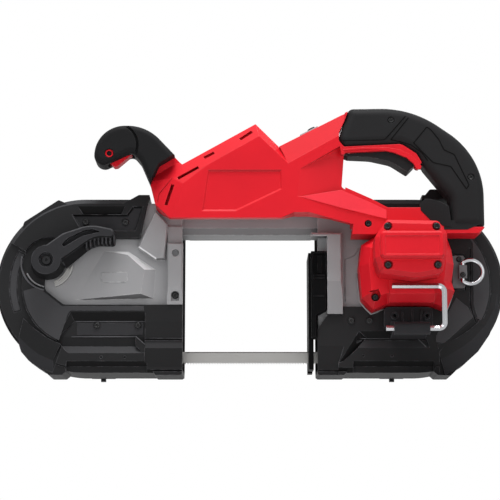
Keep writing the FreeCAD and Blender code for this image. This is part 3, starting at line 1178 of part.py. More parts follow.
def trigger_room():
    half = TRIGGER_WIDTH / 2 + GAP
    return front_prism(TRIGGER_ROOM, HANDLE_PLANE - half, HANDLE_PLANE + half)


def thin_arm(shape):
    """The arm under the grip and the foot are no wider than the grip."""
    low = BRIDGE_TOP - 60
    high = BRIDGE_TOP + 60
    left = THROAT_RIGHT + 27
    right = RIGHT + 90
    outside = box(left, right, HEAD_FRONT - 1, HANDLE_PLANE - ARM_HALF, BRIDGE_TOP + 10, high)
    behind = box(left, right, HANDLE_PLANE + ARM_HALF, HEAD_REAR + 1, low, high)
    return shape.cut(outside).cut(behind)


def roof_rim(half):
    """Rear edges of the housing's three roof slopes."""
    low = BRIDGE_TOP + 29
    return [e for e in front_edges(half, HEAD_REAR)
            if e.BoundBox.ZMin > low and e.BoundBox.XMax < RIGHT - 75 and e.BoundBox.XLength > 20]


def make_housing_front():
    half = head_half(HEAD_FRONT, HANDLE_PLANE)
    for cutter in head_cuts():
        half = half.cut(cutter)
    return thin_arm(half).cut(under_slope()).cut(trigger_room())


def make_housing_rear():
    upper = head_half(HANDLE_PLANE, HEAD_REAR)
    upper = upper.makeChamfer(HEAD_BEVEL, roof_rim(upper))
    below = box(LEFT, RIGHT, DECK_FRONT, HEAD_REAR + 1, BRIDGE_BOTTOM - 20, BRIDGE_TOP)
    return thin_arm(upper).cut(below).cut(under_slope()).cut(trigger_room())


def make_grip(front):
    near, far = (GRIP_FRONT, HANDLE_PLANE) if front else (HANDLE_PLANE, GRIP_REAR)
    half = front_prism(GRIP, near, far)
    half = rounded_off(half, near if front else far, GRIP_ROUND)
    for x, z in GRIP_SCREWS if front else []:
        half = half.cut(rod_y(x, z, SCREW_RADIUS, near - 1, near + SCREW_SINK))
    return half.cut(trigger_room()).cut(switch_box())


SWITCH = from_drive((-51, 58), (-21, 76))
SWITCH_HALF = 9.0


def switch_box():
    low, high = SWITCH
    return box(low[0], high[0], HANDLE_PLANE - SWITCH_HALF, HANDLE_PLANE + SWITCH_HALF, low[1], high[1])


def make_trigger():
    half = TRIGGER_WIDTH / 2
    body = front_prism(TRIGGER, HANDLE_PLANE - half, HANDLE_PLANE + half)
    return body.cut(rod_y(*TRIGGER_PIVOT, TRIGGER_PIN_RADIUS + RUN_FIT, GRIP_FRONT, GRIP_REAR))


def make_trigger_pin():
    half = TRIGGER_WIDTH / 2 + GAP
    return rod_y(*TRIGGER_PIVOT, TRIGGER_PIN_RADIUS, HANDLE_PLANE - half, HANDLE_PLANE + half)


def make_front_handle():
    body = front_prism(FRONT_HANDLE, GRIP_FRONT, GRIP_REAR)
    seat = HANDLE_SEAT[0][0] - 2
    for depth in (GRIP_FRONT, GRIP_REAR):
        body = body.makeFillet(HANDLE_ROUND, [e for e in front_edges(body, depth) if e.BoundBox.XMin < seat])
    half = FRONT_TRIGGER_WIDTH / 2 + GAP
    body = body.cut(rod_y(*POMMEL, POMMEL_RADIUS, GRIP_FRONT - 1,
                          GRIP_FRONT + SCREW_SINK)).cut(pommel_groove())
    return body.cut(front_prism(FRONT_ROOM, HANDLE_PLANE - half, HANDLE_PLANE + half))


def pommel_groove():
    """Curved groove between the pommel and the neck of the front handle."""
    x, z = POMMEL_CENTRE
    inner, outer = POMMEL_EDGE
    near = GRIP_FRONT - 1
    far = GRIP_FRONT + POMMEL_GROOVE
    ring = ring_y(x, z, outer, inner, near, far)
    return ring.common(box(x + inner / 2, x + outer + 1, near, far, z - outer, z + outer))


def make_front_trigger():
    half = FRONT_TRIGGER_WIDTH / 2
    body = front_prism(FRONT_TRIGGER, HANDLE_PLANE - half, HANDLE_PLANE + half)
    return body.cut(rod_y(*FRONT_PIVOT, TRIGGER_PIN_RADIUS + RUN_FIT, GRIP_FRONT, GRIP_REAR))


def make_front_trigger_pin():
    half = FRONT_TRIGGER_WIDTH / 2 + GAP
    return rod_y(*FRONT_PIVOT, TRIGGER_PIN_RADIUS, HANDLE_PLANE - half, HANDLE_PLANE + half)


# Throat: guide block, shoe and guide rollers

SLIDER_HIGH = BRIDGE_BOTTOM - 21
SLIDER_LOW = COLUMN_LOW - 25.3


BLOCK_FRONT = DECK_FRONT - BLOCK_RISE
BLOCK_SCREW = (THROAT_LEFT - 7.6, WINDOW_LOW + 9.5)
BLOCK_SINK = 5.0
BLOCK_CREASE = WINDOW_LOW + 18.5


def make_left_guide_block():
    """Block beside the throat: a round hole above, a sloping foot with a screw in a U-shaped seat below."""
    left = THROAT_LEFT - BLOCK_WIDTH
    high = WHEEL_HEIGHT + 40
    block = front_prism([(left, WINDOW_LOW), (THROAT_LEFT, WINDOW_LOW), (THROAT_LEFT, high), (left, high)],
                        BLOCK_FRONT, DECK_FRONT - BLOCK_SEAT)
    block = bevelled(block, BLOCK_FRONT, 1.5)
    foot = facet([(left - 1, BLOCK_CREASE), (THROAT_LEFT + 1, BLOCK_CREASE), (THROAT_LEFT + 1,
                                                                              WINDOW_LOW - 1),
                  (left - 1, WINDOW_LOW - 1)], BLOCK_FRONT - 1, DECK_FRONT, (left, BLOCK_FRONT, BLOCK_CREASE),
                 (THROAT_LEFT, BLOCK_FRONT, BLOCK_CREASE), (left, BLOCK_FRONT + 2, WINDOW_LOW))
    x, z = BLOCK_SCREW
    reach = BLOCK_HOLE + 0.4
    seat = front_prism([(x - reach, z - 6), (x + reach, z - 6), (x + reach, z + reach, reach - 0.1),
                        (x - reach, z + reach, reach - 0.1)], BLOCK_FRONT - 1, BLOCK_FRONT + BLOCK_SINK)
    hole = rod_y(THROAT_LEFT - 7.5, high - 11, BLOCK_HOLE, BLOCK_FRONT - 1, DECK_FRONT - 5)
    return block.cut(foot).cut(seat).cut(hole)


def make_shoe():
    """Work stop: a steel plate behind the slider, with a slot for the blade, open at the bottom."""
    left = COLUMN_LEFT + SHOE_LAP - SHOE_THICK
    plate = box(left, left + SHOE_THICK, DECK_FRONT - GAP, SHOE_HALF, SHOE_FOOT, SLIDER_HIGH)
    half = BLADE_WIDTH / 2 + SHOE_ROOM
    return plate.cut(box(left - 1, left + SHOE_THICK + 1, -half, half, SHOE_FOOT - 1, BLADE_LOW + SHOE_SLOT))


SHOE_LAP = 2.5
SHOE_ROOM = 3.0
SHOE_SLOT = 22.0
SLIDER_FRONT = COLUMN_FRONT + 2
SLIDER_RIGHT = COLUMN_LEFT + SLIDER_ROOM - GAP
HOLLOW_DEPTH = 3.5
LOCK_X = COLUMN_LEFT + 8.0
LOCK_Z = SLIDER_HIGH - 9
LOCK_SHANK = 2.8
LOCK_HEAD = 5.0
LOCK_NEAR = DECK_FRONT - 7.0
LOCK_NECK = DECK_FRONT - 4.4


def make_shoe_slider():
    """Slider of the work stop: a hollow with a bar and ribs in front, a T-slot for its screw behind."""
    tail = COLUMN_LEFT + SLIDER_TAIL
    outline = [(COLUMN_LEFT, SLIDER_LOW), (tail, SLIDER_LOW), (tail, COLUMN_LOW - 2), (SLIDER_RIGHT,
                                                                                       COLUMN_LOW + 4),
               (SLIDER_RIGHT, SLIDER_HIGH), (COLUMN_LEFT, SLIDER_HIGH)]
    slider = bevelled(front_prism(outline, SLIDER_FRONT, DECK_FRONT - GAP), SLIDER_FRONT, 1.5)
    deep_face = SLIDER_FRONT + HOLLOW_DEPTH
    hollow = box(COLUMN_LEFT + 2, SLIDER_RIGHT - 1.5, SLIDER_FRONT - 1, deep_face, SLIDER_HIGH - 24,
                 SLIDER_HIGH - 2)
    bar = box(LOCK_X - 1.7, LOCK_X + 3, SLIDER_FRONT + 1, deep_face + 1, SLIDER_HIGH - 22.5, SLIDER_HIGH - 5)
    ribs = [box(COLUMN_LEFT + 2, SLIDER_RIGHT - 2, SLIDER_FRONT - 1, SLIDER_FRONT + 1, SLIDER_HIGH - drop,
                SLIDER_HIGH - drop + 1)
            for drop in (26, 28.5, 47)]
    return fuse(slider.cut(hollow), bar, *ribs).cut(lock_channel())


def lock_channel():
    """T-slot for the lock screw, as long as the travel and open at the top."""
    low = LOCK_Z - SHOE_TRAVEL
    narrow = LOCK_SHANK + GAP
    wide = LOCK_HEAD + GAP
    slot = box(LOCK_X - narrow, LOCK_X + narrow, LOCK_NEAR, DECK_FRONT, low - narrow, SLIDER_HIGH + 1)
    head = box(LOCK_X - wide, LOCK_X + wide, LOCK_NEAR - GAP, LOCK_NECK + GAP, low - wide, SLIDER_HIGH + 1)
    return slot.fuse(head)


def make_shoe_lock():
    head = rod_y(LOCK_X, LOCK_Z, LOCK_HEAD, LOCK_NEAR, LOCK_NECK)
    shank = rod_y(LOCK_X, LOCK_Z, LOCK_SHANK, LOCK_NECK - 1, DECK_FRONT)
    return fuse(head, shank)


def blade_axes():
    """Across the blade toward its teeth, and square to its face, in the throat."""
    angle = math.radians(BLADE_TWIST)
    return Vector(0, math.cos(angle), -math.sin(angle)), Vector(0, math.sin(angle), math.cos(angle))


GUIDE_SETBACK = 11.0
GUIDE_OFFSET = THROAT_RIGHT + GUIDE_SETBACK
PIN_REACH = 36.0


def roller_centre(side, face):
    _, normal = blade_axes()
    return at(side * GUIDE_OFFSET, 0, BLADE_LOW) + normal * (face * (BLADE_THICK / 2 + GAP + ROLLER_RADIUS))


def make_roller(side, face):
    across, _ = blade_axes()
    start = roller_centre(side, face) - across * (ROLLER_WIDTH / 2)
    body = Part.makeCylinder(ROLLER_RADIUS, ROLLER_WIDTH, start, across)
    return body.cut(Part.makeCylinder(ROLLER_PIN + RUN_FIT, ROLLER_WIDTH + 2, start - across, across))


def guide_pin(side, face):
    across, _ = blade_axes()
    start = roller_centre(side, face) + across * (ROLLER_WIDTH / 2 + 1)
    return Part.makeCylinder(ROLLER_PIN, PIN_REACH, start, across * -1)


def make_guide_arm(side):
    """Arm behind the deck that holds the two roller pins of one guide."""
    x = side * GUIDE_OFFSET
    arm = side_prism([(DECK_BACK, BLADE_LOW + 20), (0, BLADE_LOW + 20), (0, BLADE_LOW + 34, 4),
                      (DECK_BACK + 9, BLADE_LOW + 46), (DECK_BACK + 9, BLADE_LOW + 60), (DECK_BACK,
                                                                                         BLADE_LOW + 60)],
                     x - 7, x + 7)
    return fuse(arm, guide_pin(side, -1), guide_pin(side, 1))


# Hex key, clip and hang ring

def base_z(dz):
    return WHEEL_HEIGHT + dz


KEY_TOP = base_z(-12.2)
KEY_LOW = base_z(-54.8)
KEY_LEFT = RIGHT - 27.5
KEY_TURN = RIGHT + 24.5
KEY_TIP = RIGHT - 34.0
KEY_BEND = 6.0


def make_hex_key():
    """Cranked hexagon bar: a free upper leg, a short side and a leg through the clip barrel."""
    path = [(KEY_LEFT, KEY_TOP), (KEY_TURN, KEY_TOP, KEY_BEND), (KEY_TURN, KEY_LOW, KEY_BEND), (KEY_TIP,
                                                                                                KEY_LOW)]
    edges = open_path(path, KEY_PLANE)
    section = hexagon(at(KEY_LEFT, KEY_PLANE, KEY_TOP))
    return Part.Wire(edges).makePipeShell([section], True, False)


def hexagon(centre):
    corners = []
    for index in range(7):
        angle = math.pi / 3 * index
        corners.append(centre + Vector(0, KEY_RADIUS * math.cos(angle), KEY_RADIUS * math.sin(angle)))
    return Part.makePolygon(corners)


def open_path(points, depth):
    """Straight runs joined by tangent arcs, in one front plane."""
    edges = []
    last = at(points[0][0], depth, points[0][1])
    for index in range(1, len(points) - 1):
        here = at(points[index][0], depth, points[index][1])
        to_back = (at(points[index - 1][0], depth, points[index - 1][1]) - here).normalize()
        to_ahead = (at(points[index + 1][0], depth, points[index + 1][1]) - here).normalize()
        half = to_back.getAngle(to_ahead) / 2
        radius = points[index][2]
        start = here + to_back * (radius / math.tan(half))
        end = here + to_ahead * (radius / math.tan(half))
        middle = here + (to_back + to_ahead).normalize() * (radius / math.sin(half) - radius)
        edges.append(Part.makeLine(last, start))
        edges.append(Part.Arc(start, middle, end).toShape())
        last = end
    edges.append(Part.makeLine(last, at(points[-1][0], depth, points[-1][1])))
    return edges


CLIP_THICK = 12.0
CLIP_BOSS = 3.8
CLIP_LEFT = RIGHT - 33.0
CLIP_RIGHT = RIGHT + 16.5
CLIP_TOP = base_z(-28.3)
CLIP_LOW = base_z(-49.6)


def make_key_clip():
    """Clip under the motor, on the guard, with a barrel that holds the key."""
    plate = front_prism([(CLIP_LEFT, CLIP_LOW, 3), (CLIP_RIGHT, CLIP_LOW, 3), (CLIP_RIGHT, CLIP_TOP, 5),
                         (CLIP_LEFT, CLIP_TOP, 5)], GUARD_FRONT - CLIP_THICK, GUARD_FRONT)
    arm = side_prism([(GUARD_FRONT, CLIP_LOW + 8), (KEY_PLANE, KEY_LOW + BARREL_RADIUS), (KEY_PLANE, KEY_LOW),
                      (GUARD_FRONT, CLIP_LOW - 10)], CLIP_LEFT + 7, CLIP_RIGHT - 7)
    barrel = rod_x(KEY_PLANE, KEY_LOW, BARREL_RADIUS, CLIP_LEFT + 7, CLIP_RIGHT - 7)
    bore = rod_x(KEY_PLANE, KEY_LOW, KEY_RADIUS + GAP, CLIP_LEFT, CLIP_RIGHT)
    front = GUARD_FRONT - CLIP_THICK
    bosses = [rod_y(RIGHT + dx, CLIP_TOP - 9, CLIP_BOSS, front - 2, front + 1) for dx in (-22.2, 10.5)]
    holes = [rod_y(RIGHT + dx, CLIP_TOP - 9, CLIP_BOSS / 2, front - 3, front + 4) for dx in (-22.2, 10.5)]
    ribs = [box(RIGHT + dx, RIGHT + dx + 1.6, front - 1.5, front + 1, CLIP_LOW + 3,
                CLIP_TOP - 3) for dx in (-15, -5, 4)]
    return fuse(plate, arm, barrel, *bosses, *ribs).cut(bore).cut(Part.makeCompound(holes))


RING_X = RIGHT + 48.0
RING_HIGH = base_z(12.9)
RING_LOW = base_z(3.3)
RING_PLANE = GUARD_FRONT - 10
RING_BULGE = 2.2
RING_LEG = 4.4
LUG_FRONT = RING_PLANE - 4
RING_FOOT = GUARD_FRONT - 5
RING_FOOT_SCREW = (RING_X - 3, base_z(22))
RING_BLOCK_SCREW = (RING_X - 0.5, base_z(4.4))
RING_SCREW = 2.8


def make_ring_bracket():
    """Bracket beside the motor, with a block that the pin of the ring turns in."""
    low = base_z(-7.5)
    high = base_z(26)
    corners = [(RING_X - 10, low, 2), (RING_X + 3, low, 2), (RING_X + 3, high, 3), (RING_X - 10, high, 3)]
    foot = front_prism(corners, RING_FOOT, DECK_FRONT)
    half = RING_LEG - RING_WIRE
    block = box(RING_X - 4, RING_X + 4, LUG_FRONT, GUARD_FRONT - 4, RING_LOW - half + GAP,
                RING_HIGH + half - GAP)
    bracket = fuse(foot, block)
    return bracket.cut(Part.makeCylinder(RING_WIRE + RUN_FIT, 60, at(RING_X, RING_PLANE, base_z(-20))))


def make_hang_ring():
    """Round ring, closed by a straight pin through the bracket."""
    top = RING_HIGH + RING_LEG
    low = RING_LOW - RING_LEG
    path = [at(RING_X, RING_PLANE, low), at(RING_X, RING_PLANE, top)]
    pin = Part.makeCylinder(RING_WIRE, top - low, path[0])
    centre = (top + low) / 2
    reach = (top - low) / 2
    bulge = reach * RING_BULGE
    radius = (reach ** 2 + bulge ** 2) / (2 * bulge)
    middle = at(RING_X + bulge - radius, RING_PLANE, centre)
    spoke = path[0] - middle
    section = Part.Face(Part.Wire(Part.makeCircle(RING_WIRE, path[0], Vector(0, 1, 0).cross(spoke))))
    swing = 2 * (math.pi - math.asin(reach / radius))
    loop = section.revolve(middle, Vector(0, -1, 0), math.degrees(swing))
    ends = [Part.makeSphere(RING_WIRE, p) for p in path]
    return fuse(pin, loop, *ends)


# Battery dock, controls and small parts

DOCK_LEFT = RIGHT + 9.0
DOCK_RIGHT = RIGHT + 66.0
DOCK_NEAR = GRIP_REAR + 1.0
DOCK_HIGH = GUARD_TOP + 10.0


def make_battery_dock():
    """Dock on top of the right guard: two undercut rails that a battery slides on."""
    floor = box(DOCK_LEFT, DOCK_RIGHT, DOCK_NEAR, GUARD_REAR - 4, GUARD_TOP, GUARD_TOP + 4)
    stop = front_prism([(DOCK_LEFT, GUARD_TOP), (DOCK_LEFT + 16, GUARD_TOP), (DOCK_LEFT + 16, DOCK_HIGH, 2),
                        (DOCK_LEFT + 8, DOCK_HIGH, 3)], DOCK_NEAR, GUARD_REAR - 4)
    rails = []
    for near in (DOCK_NEAR, GUARD_REAR - 8):
        rails.append(box(DOCK_LEFT + 10, DOCK_RIGHT, near, near + 4, GUARD_TOP + 3, DOCK_HIGH - 1))
    return fuse(floor, stop, *rails)


def make_dock_contacts():
    middle = (DOCK_NEAR + GUARD_REAR - 4) / 2
    blades = []
    for offset in (-9, -3, 3, 9):
        blades.append(box(DOCK_LEFT + 16, DOCK_LEFT + 28, middle + offset - 0.5, middle + offset + 0.5,
                          GUARD_TOP + 4, DOCK_HIGH - 1))
    return Part.makeCompound(blades)


ROOF_ANGLE = math.degrees(math.atan2(ROOF_HIGH[1] - ROOF_LOW[1], ROOF_HIGH[0] - ROOF_LOW[0]))
MODE_SHARE = 31 / 63.3
MODE_X = ROOF_LOW[0] + MODE_SHARE * (ROOF_HIGH[0] - ROOF_LOW[0])
MODE_Z = ROOF_LOW[1] + MODE_SHARE * (ROOF_HIGH[1] - ROOF_LOW[1])


def on_roof(shape):
    """Turns and moves a piece from the origin onto the sloping top of the housing."""
    shape.rotate(Vector(0, 0, 0), Vector(0, 1, 0), -ROOF_ANGLE)
    shape.translate(at(MODE_X, HANDLE_PLANE, MODE_Z))
    return shape


def make_mode_panel():
    plate = Part.makeBox(20, 16, 1.6, Vector(-10, -8, 0))
    return on_roof(plate.cut(Part.makeCylinder(4.3, 4, Vector(4, 0, -1))))


def make_mode_button():
    return on_roof(Part.makeCylinder(4.0, 2.6, Vector(4, 0, 0.9 + GAP)))


def screws(places, depth, radius=SCREW_RADIUS):
    """Button-head screws with a socket, each a solid of its own, seated at one depth."""
    group = []
    for x, z in places:
        head = rod_y(x, z, radius - RUN_FIT, depth - SCREW_HEAD, depth)
        head = head.makeChamfer(SCREW_HEAD / 3, front_edges(head, depth - SCREW_HEAD))
        group.append(head.cut(rod_y(x, z, radius / 2, depth - SCREW_HEAD - 1, depth - 1)))
    return group


def main():
    os.makedirs("parts", exist_ok=True)
    export("main_frame", make_main_frame())
    export("left_guard", make_left_guard())
    export("right_guard", make_right_guard())
    export("left_rear_cover", rear_cover(LEFT_HINGE, LEFT_LATCH, False))
    export("right_rear_cover", rear_cover(RIGHT_HINGE, RIGHT_LATCH, True))
    export("cover_hinge_pins", Part.makeCompound([hinge_pin(LEFT_HINGE), hinge_pin(RIGHT_HINGE)]))
    export("left_cover_latch", latch(LEFT_LATCH))
    export("right_cover_latch", latch(RIGHT_LATCH))
    export("bridge_rear_cover", make_bridge_cover())
    export("drive_wheel", make_wheel(RIGHT, SHAFT_RADIUS))
    export("drive_tyre", make_tyre(RIGHT))
    export("idler_wheel", make_wheel(LEFT, LARGE_BEARING))
    export("idler_tyre", make_tyre(LEFT))
    export("idler_bearing", ring_y(LEFT, WHEEL_HEIGHT, LARGE_BEARING, SHAFT_RADIUS + RUN_FIT, -4, 6))
    export("idler_axle", rod_y(LEFT, WHEEL_HEIGHT, SHAFT_RADIUS, DECK_BACK + GAP, RIM_WIDTH / 2 + 1))
    export("idler_carriage", make_carriage())
    export("saw_blade_cutting_run", make_cutting_run())
    export("saw_blade_return_run", make_return_run())
    export("tension_cam", make_cam())
    export("tension_lever", make_lever())
    export("lever_stop", make_lever_stop())
    export("motor_rotor", make_rotor())
    export("motor_stator", make_stator())
    export("counter_gear", make_counter_gear())
    export("counter_bushes", Part.makeCompound([counter_bush(PLATE_BACK - GEAR_PLATE, PLATE_BACK),
                                                counter_bush(DECK_FRONT, DECK_BACK)]))
    export("drive_gear", make_drive_gear())
    export("drive_shaft", make_drive_shaft())
    export("drive_bearing", ring_y(RIGHT, WHEEL_HEIGHT, LARGE_BEARING, SHAFT_RADIUS + RUN_FIT,
                                   DECK_FRONT - 2, DECK_BACK))
    export("shaft_nose_bearing", ring_y(RIGHT, WHEEL_HEIGHT, SMALL_BEARING, NOSE_RADIUS + RUN_FIT,
                                        PLATE_BACK - GEAR_PLATE, PLATE_BACK))
    export("rotor_bearings", Part.makeCompound([
        ring_y(MOTOR_X, MOTOR_Z, SMALL_BEARING, ROTOR_SHAFT + RUN_FIT, PLATE_BACK - GEAR_PLATE, PLATE_BACK),
        ring_y(MOTOR_X, MOTOR_Z, SMALL_BEARING, ROTOR_SHAFT + RUN_FIT, CAP_FRONT + 5, CAP_FRONT + 10)]))
    export("gear_plate", make_gear_plate())
    export("motor_housing", make_motor_housing())
    export("motor_cap", make_motor_cap())
    export("housing_front", make_housing_front())
    export("housing_rear", make_housing_rear())
    export("rear_grip_front", make_grip(True))
    export("rear_grip_back", make_grip(False))
    export("switch_module", switch_box())
    export("main_trigger", make_trigger())
    export("trigger_pins", Part.makeCompound([make_trigger_pin(), make_front_trigger_pin()]))
    export("front_handle", make_front_handle())
    export("front_trigger", make_front_trigger())
    export("left_guide_block", make_left_guide_block())
    export("shoe", make_shoe())
    export("shoe_slider", make_shoe_slider())
    export("shoe_lock_screw", make_shoe_lock())
    export("guide_arms", Part.makeCompound([make_guide_arm(-1), make_guide_arm(1)]))
    for side, word in ((-1, "left"), (1, "right")):
        export(word + "_front_roller", make_roller(side, -1))
        export(word + "_rear_roller", make_roller(side, 1))
    export("hex_key", make_hex_key())
    export("hex_key_clip", make_key_clip())
    export("hang_ring_bracket", make_ring_bracket())
    export("hang_ring", make_hang_ring())
    export("battery_dock", make_battery_dock())
    export("dock_contacts", make_dock_contacts())
    export("mode_panel", make_mode_panel())
    export("mode_button", make_mode_button())
    export("button_head_screws", Part.makeCompound(
        screws(UPPER_SCREWS, GUARD_FRONT + PANEL_DEPTH) + screws(LOWER_SCREWS, FLOOR_DEPTH)
        + screws(RIGHT_SCREWS, GUARD_FRONT) + screws(CAP_SCREWS, CAP_FRONT + SCREW_HEAD)
        + screws([FLANGE_SCREW], FLANGE_SEAT) + screws(GRIP_SCREWS, GRIP_FRONT + SCREW_SINK)
        + screws([BLOCK_SCREW], BLOCK_FRONT + BLOCK_SINK)
        + screws([RING_FOOT_SCREW], RING_FOOT, RING_SCREW) + screws([RING_BLOCK_SCREW], LUG_FRONT, RING_SCREW)))


main()
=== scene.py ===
import json
import math

import bpy
import numpy as np
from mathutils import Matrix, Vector


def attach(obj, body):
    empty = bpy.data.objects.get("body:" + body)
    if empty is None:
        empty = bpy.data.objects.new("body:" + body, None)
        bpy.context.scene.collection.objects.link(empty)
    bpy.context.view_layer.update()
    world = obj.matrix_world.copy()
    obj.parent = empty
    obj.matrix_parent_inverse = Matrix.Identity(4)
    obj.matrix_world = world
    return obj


# Portable band saw: finishes for its solids, shallow mouldings beyond them, and a pale studio.
# Lengths are millimetres until a mesh is made. The front view is the X-Z plane, and depth is along Y.

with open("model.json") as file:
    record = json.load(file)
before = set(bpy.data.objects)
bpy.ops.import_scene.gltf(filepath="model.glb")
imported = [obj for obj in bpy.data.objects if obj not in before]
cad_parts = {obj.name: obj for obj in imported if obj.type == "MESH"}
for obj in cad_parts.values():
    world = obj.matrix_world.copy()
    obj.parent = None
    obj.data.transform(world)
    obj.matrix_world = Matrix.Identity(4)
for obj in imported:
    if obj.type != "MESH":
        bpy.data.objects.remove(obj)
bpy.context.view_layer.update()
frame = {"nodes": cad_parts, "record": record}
nodes = frame["nodes"]
MM = 0.001
WHEEL_Y = 38.35  # depth of the wheels' middle plane


# Finishes

BEVEL_SAMPLES = 6
GRAIN_DEPTH = 0.0004  # metres
GRAIN_GLOSS = 0.14
DRIFT_SCALE = 14.0
DRIFT_GLOSS = 0.06
DRIFT_RANGE = (0.3, 0.7)
DRIFT_SHADE = 0.06
WEAR_AND_HIGHLIGHT_SCALE = 160.0
WEAR_AND_HIGHLIGHT_RANGE = (0.35, 0.62)
EDGE_TURN = (0.995, 0.86)  # a softened edge's normal against its face's own, from a plain face to a lightened edge, part wear and part painted highlight
# painted light on up-facing faces and painted shade on down-facing ones, set by the normal's height
TOP_LIGHT_RISE = (0.15, 0.6)
UNDERSIDE_SHADE_RISE = (-0.05, -0.3)
UNDERSIDE_SHADE_LEVEL = 0.1
GROUND_MATCH = (0.985, 0.995)


def linear(r, g, b):
    """Colour from 0-255 screen values to scene-linear values."""
    out = []
    for c in (r, g, b):
        c = c / 255
        out.append(c / 12.92 if c <= 0.04045 else ((c + 0.055) / 1.055) ** 2.4)
    return (*out, 1.0)


class Nodes:
    """Short hand for building one material's node tree."""

    def __init__(self, name):
        self.mat = bpy.data.materials.new(name)
        self.mat.use_nodes = True
        self.tree = self.mat.node_tree
        self.tree.nodes.clear()
        self.out = self.add("ShaderNodeOutputMaterial")

    def add(self, kind, **inputs):
        """A node of one kind, with its inputs by name, an underscore for a space."""
        node = self.tree.nodes.new(kind)
        for key, value in inputs.items():
            self.put(node, key, value)
        return node

    def put(self, node, key, value):
        """Link an input to a socket, or give it a plain value."""
        socket = node.inputs[key.replace("_", " ")] if isinstance(key, str) else node.inputs[key]
        if isinstance(value, bpy.types.NodeSocket):
            self.tree.links.new(value, socket)
        else:
            socket.default_value = value

    def math(self, operation, a, b):
        """One number from two."""
        node = self.tree.nodes.new("ShaderNodeMath")
        node.operation = operation
        self.put(node, 0, a)
        self.put(node, 1, b)
        return node.outputs[0]

    def vector(self, operation, a, b):
        """One number from two vectors."""
        node = self.tree.nodes.new("ShaderNodeVectorMath")
        node.operation = operation
        self.put(node, 0, a)
        self.put(node, 1, b)
        return node.outputs["Value"]

    def mix(self, factor, a, b):
        """A colour between two, the second one where the factor is 1."""
        node = self.tree.nodes.new("ShaderNodeMix")
        node.data_type = "RGBA"
        self.put(node, 0, factor)
        self.put(node, 6, a)
        self.put(node, 7, b)
        return node.outputs[2]

    def ramp(self, value, first, last):
        """A share that goes from 0 to 1 as a value goes from the first limit to the last, up or down."""
        node = self.tree.nodes.new("ShaderNodeMapRange")
        self.put(node, 0, value)
        self.put(node, 1, first)
        self.put(node, 2, last)
        return node.outputs[0]

    def noise(self, scale, detail, stretch=(1, 1, 1)):
        """Noise fixed to the object, with its axes stretched where that is asked for."""
        coords = self.add("ShaderNodeTexCoord").outputs["Object"]
        if stretch != (1, 1, 1):
            mapping = self.add("ShaderNodeMapping", Vector=coords)
            mapping.inputs["Scale"].default_value = stretch
            coords = mapping.outputs[0]
        return self.add("ShaderNodeTexNoise", Vector=coords, Scale=scale, Detail=detail).outputs[0]


def shaded(colour, factor):
    """A colour made darker or lighter, at most white."""
    return [min(1, c * factor) for c in colour[:3]] + [1]


def surface(name, colour, edge, rough, *, grain, bump, edge_radius, metal=0.0, stretch=(1, 1, 1),
            edge_share=0.5, shine=0.5, ground=(), painted_top_light=None, painted_underside_shade=0.0):
    """Moulded or cast surface: slow colour drift, fine grain in bump and gloss, softened edges lightened in patches,
    part wear and part painted highlight.

    A ground face is one whose normal is within about six degrees of a direction in ground, and it has
    the edge's colour. Painted light lightens what faces up, and painted shade darkens what faces down.
    """
    n = Nodes(name)
    bevel = n.add("ShaderNodeBevel")
    bevel.samples = BEVEL_SAMPLES
    bevel.inputs["Radius"].default_value = edge_radius * MM
    soft = bevel.outputs[0]
    fine = n.noise(grain, 3.0, stretch)
    broad = n.noise(DRIFT_SCALE, 2.0)
    relief = n.add("ShaderNodeBump", Height=fine, Strength=bump, Distance=GRAIN_DEPTH, Normal=soft)
    facing = n.vector("DOT_PRODUCT", soft, n.add("ShaderNodeNewGeometry").outputs["Normal"])
    # lighter patches on softened edges: partly wear, partly a painted highlight where edges catch light
    wear_and_highlight = n.ramp(facing, *EDGE_TURN)
    wear_and_highlight = n.math("MULTIPLY", wear_and_highlight, n.ramp(n.noise(WEAR_AND_HIGHLIGHT_SCALE, 3.0), *WEAR_AND_HIGHLIGHT_RANGE))
    wear_and_highlight = n.math("MULTIPLY", wear_and_highlight, edge_share)
    dark = shaded(colour, 1 - DRIFT_SHADE)
    light = shaded(colour, 1 + DRIFT_SHADE)
    base = n.mix(n.ramp(broad, *DRIFT_RANGE), dark, light)
    normal = n.add("ShaderNodeTexCoord").outputs["Normal"]
    rise = n.vector("DOT_PRODUCT", normal, (0, 0, 1))
    # painted light: what faces up is lighter, as if lit from above; painted shade: what faces down is darker
    if painted_top_light:
        base = n.mix(n.ramp(rise, *TOP_LIGHT_RISE), base, painted_top_light)
    if painted_underside_shade:
        share = n.math("MULTIPLY", n.ramp(rise, *UNDERSIDE_SHADE_RISE), painted_underside_shade)
        base = n.mix(share, base, shaded(colour, UNDERSIDE_SHADE_LEVEL))
    if ground:
        shares = [n.ramp(n.vector("DOT_PRODUCT", normal, way), *GROUND_MATCH) for way in ground]
        share = shares[0]
        for other in shares[1:]:
            share = n.math("MAXIMUM", share, other)
        base = n.mix(share, base, edge)
    base = n.mix(wear_and_highlight, base, edge)
    gloss = n.math("ADD", n.math("MULTIPLY", fine, GRAIN_GLOSS), rough - GRAIN_GLOSS / 2)
    gloss = n.math("ADD", gloss, n.math("MULTIPLY", broad, DRIFT_GLOSS))
    shader = n.add("ShaderNodeBsdfPrincipled", Base_Color=base, Roughness=gloss, Normal=relief.outputs[0])
    shader.inputs["Metallic"].default_value = metal
    shader.inputs["Specular IOR Level"].default_value = shine
    n.put(n.out, "Surface", shader.outputs[0])
    return n.mat


# Directions that the deck's ground bevels face
DECK_BEVELS = [(0.338, -0.794, 0.505), (0.02, -0.794, 0.607), (-0.4, -0.71, -0.58)]
BRUSHED = (0.2, 3, 3)
ROLLED = (0.1, 3, 3)

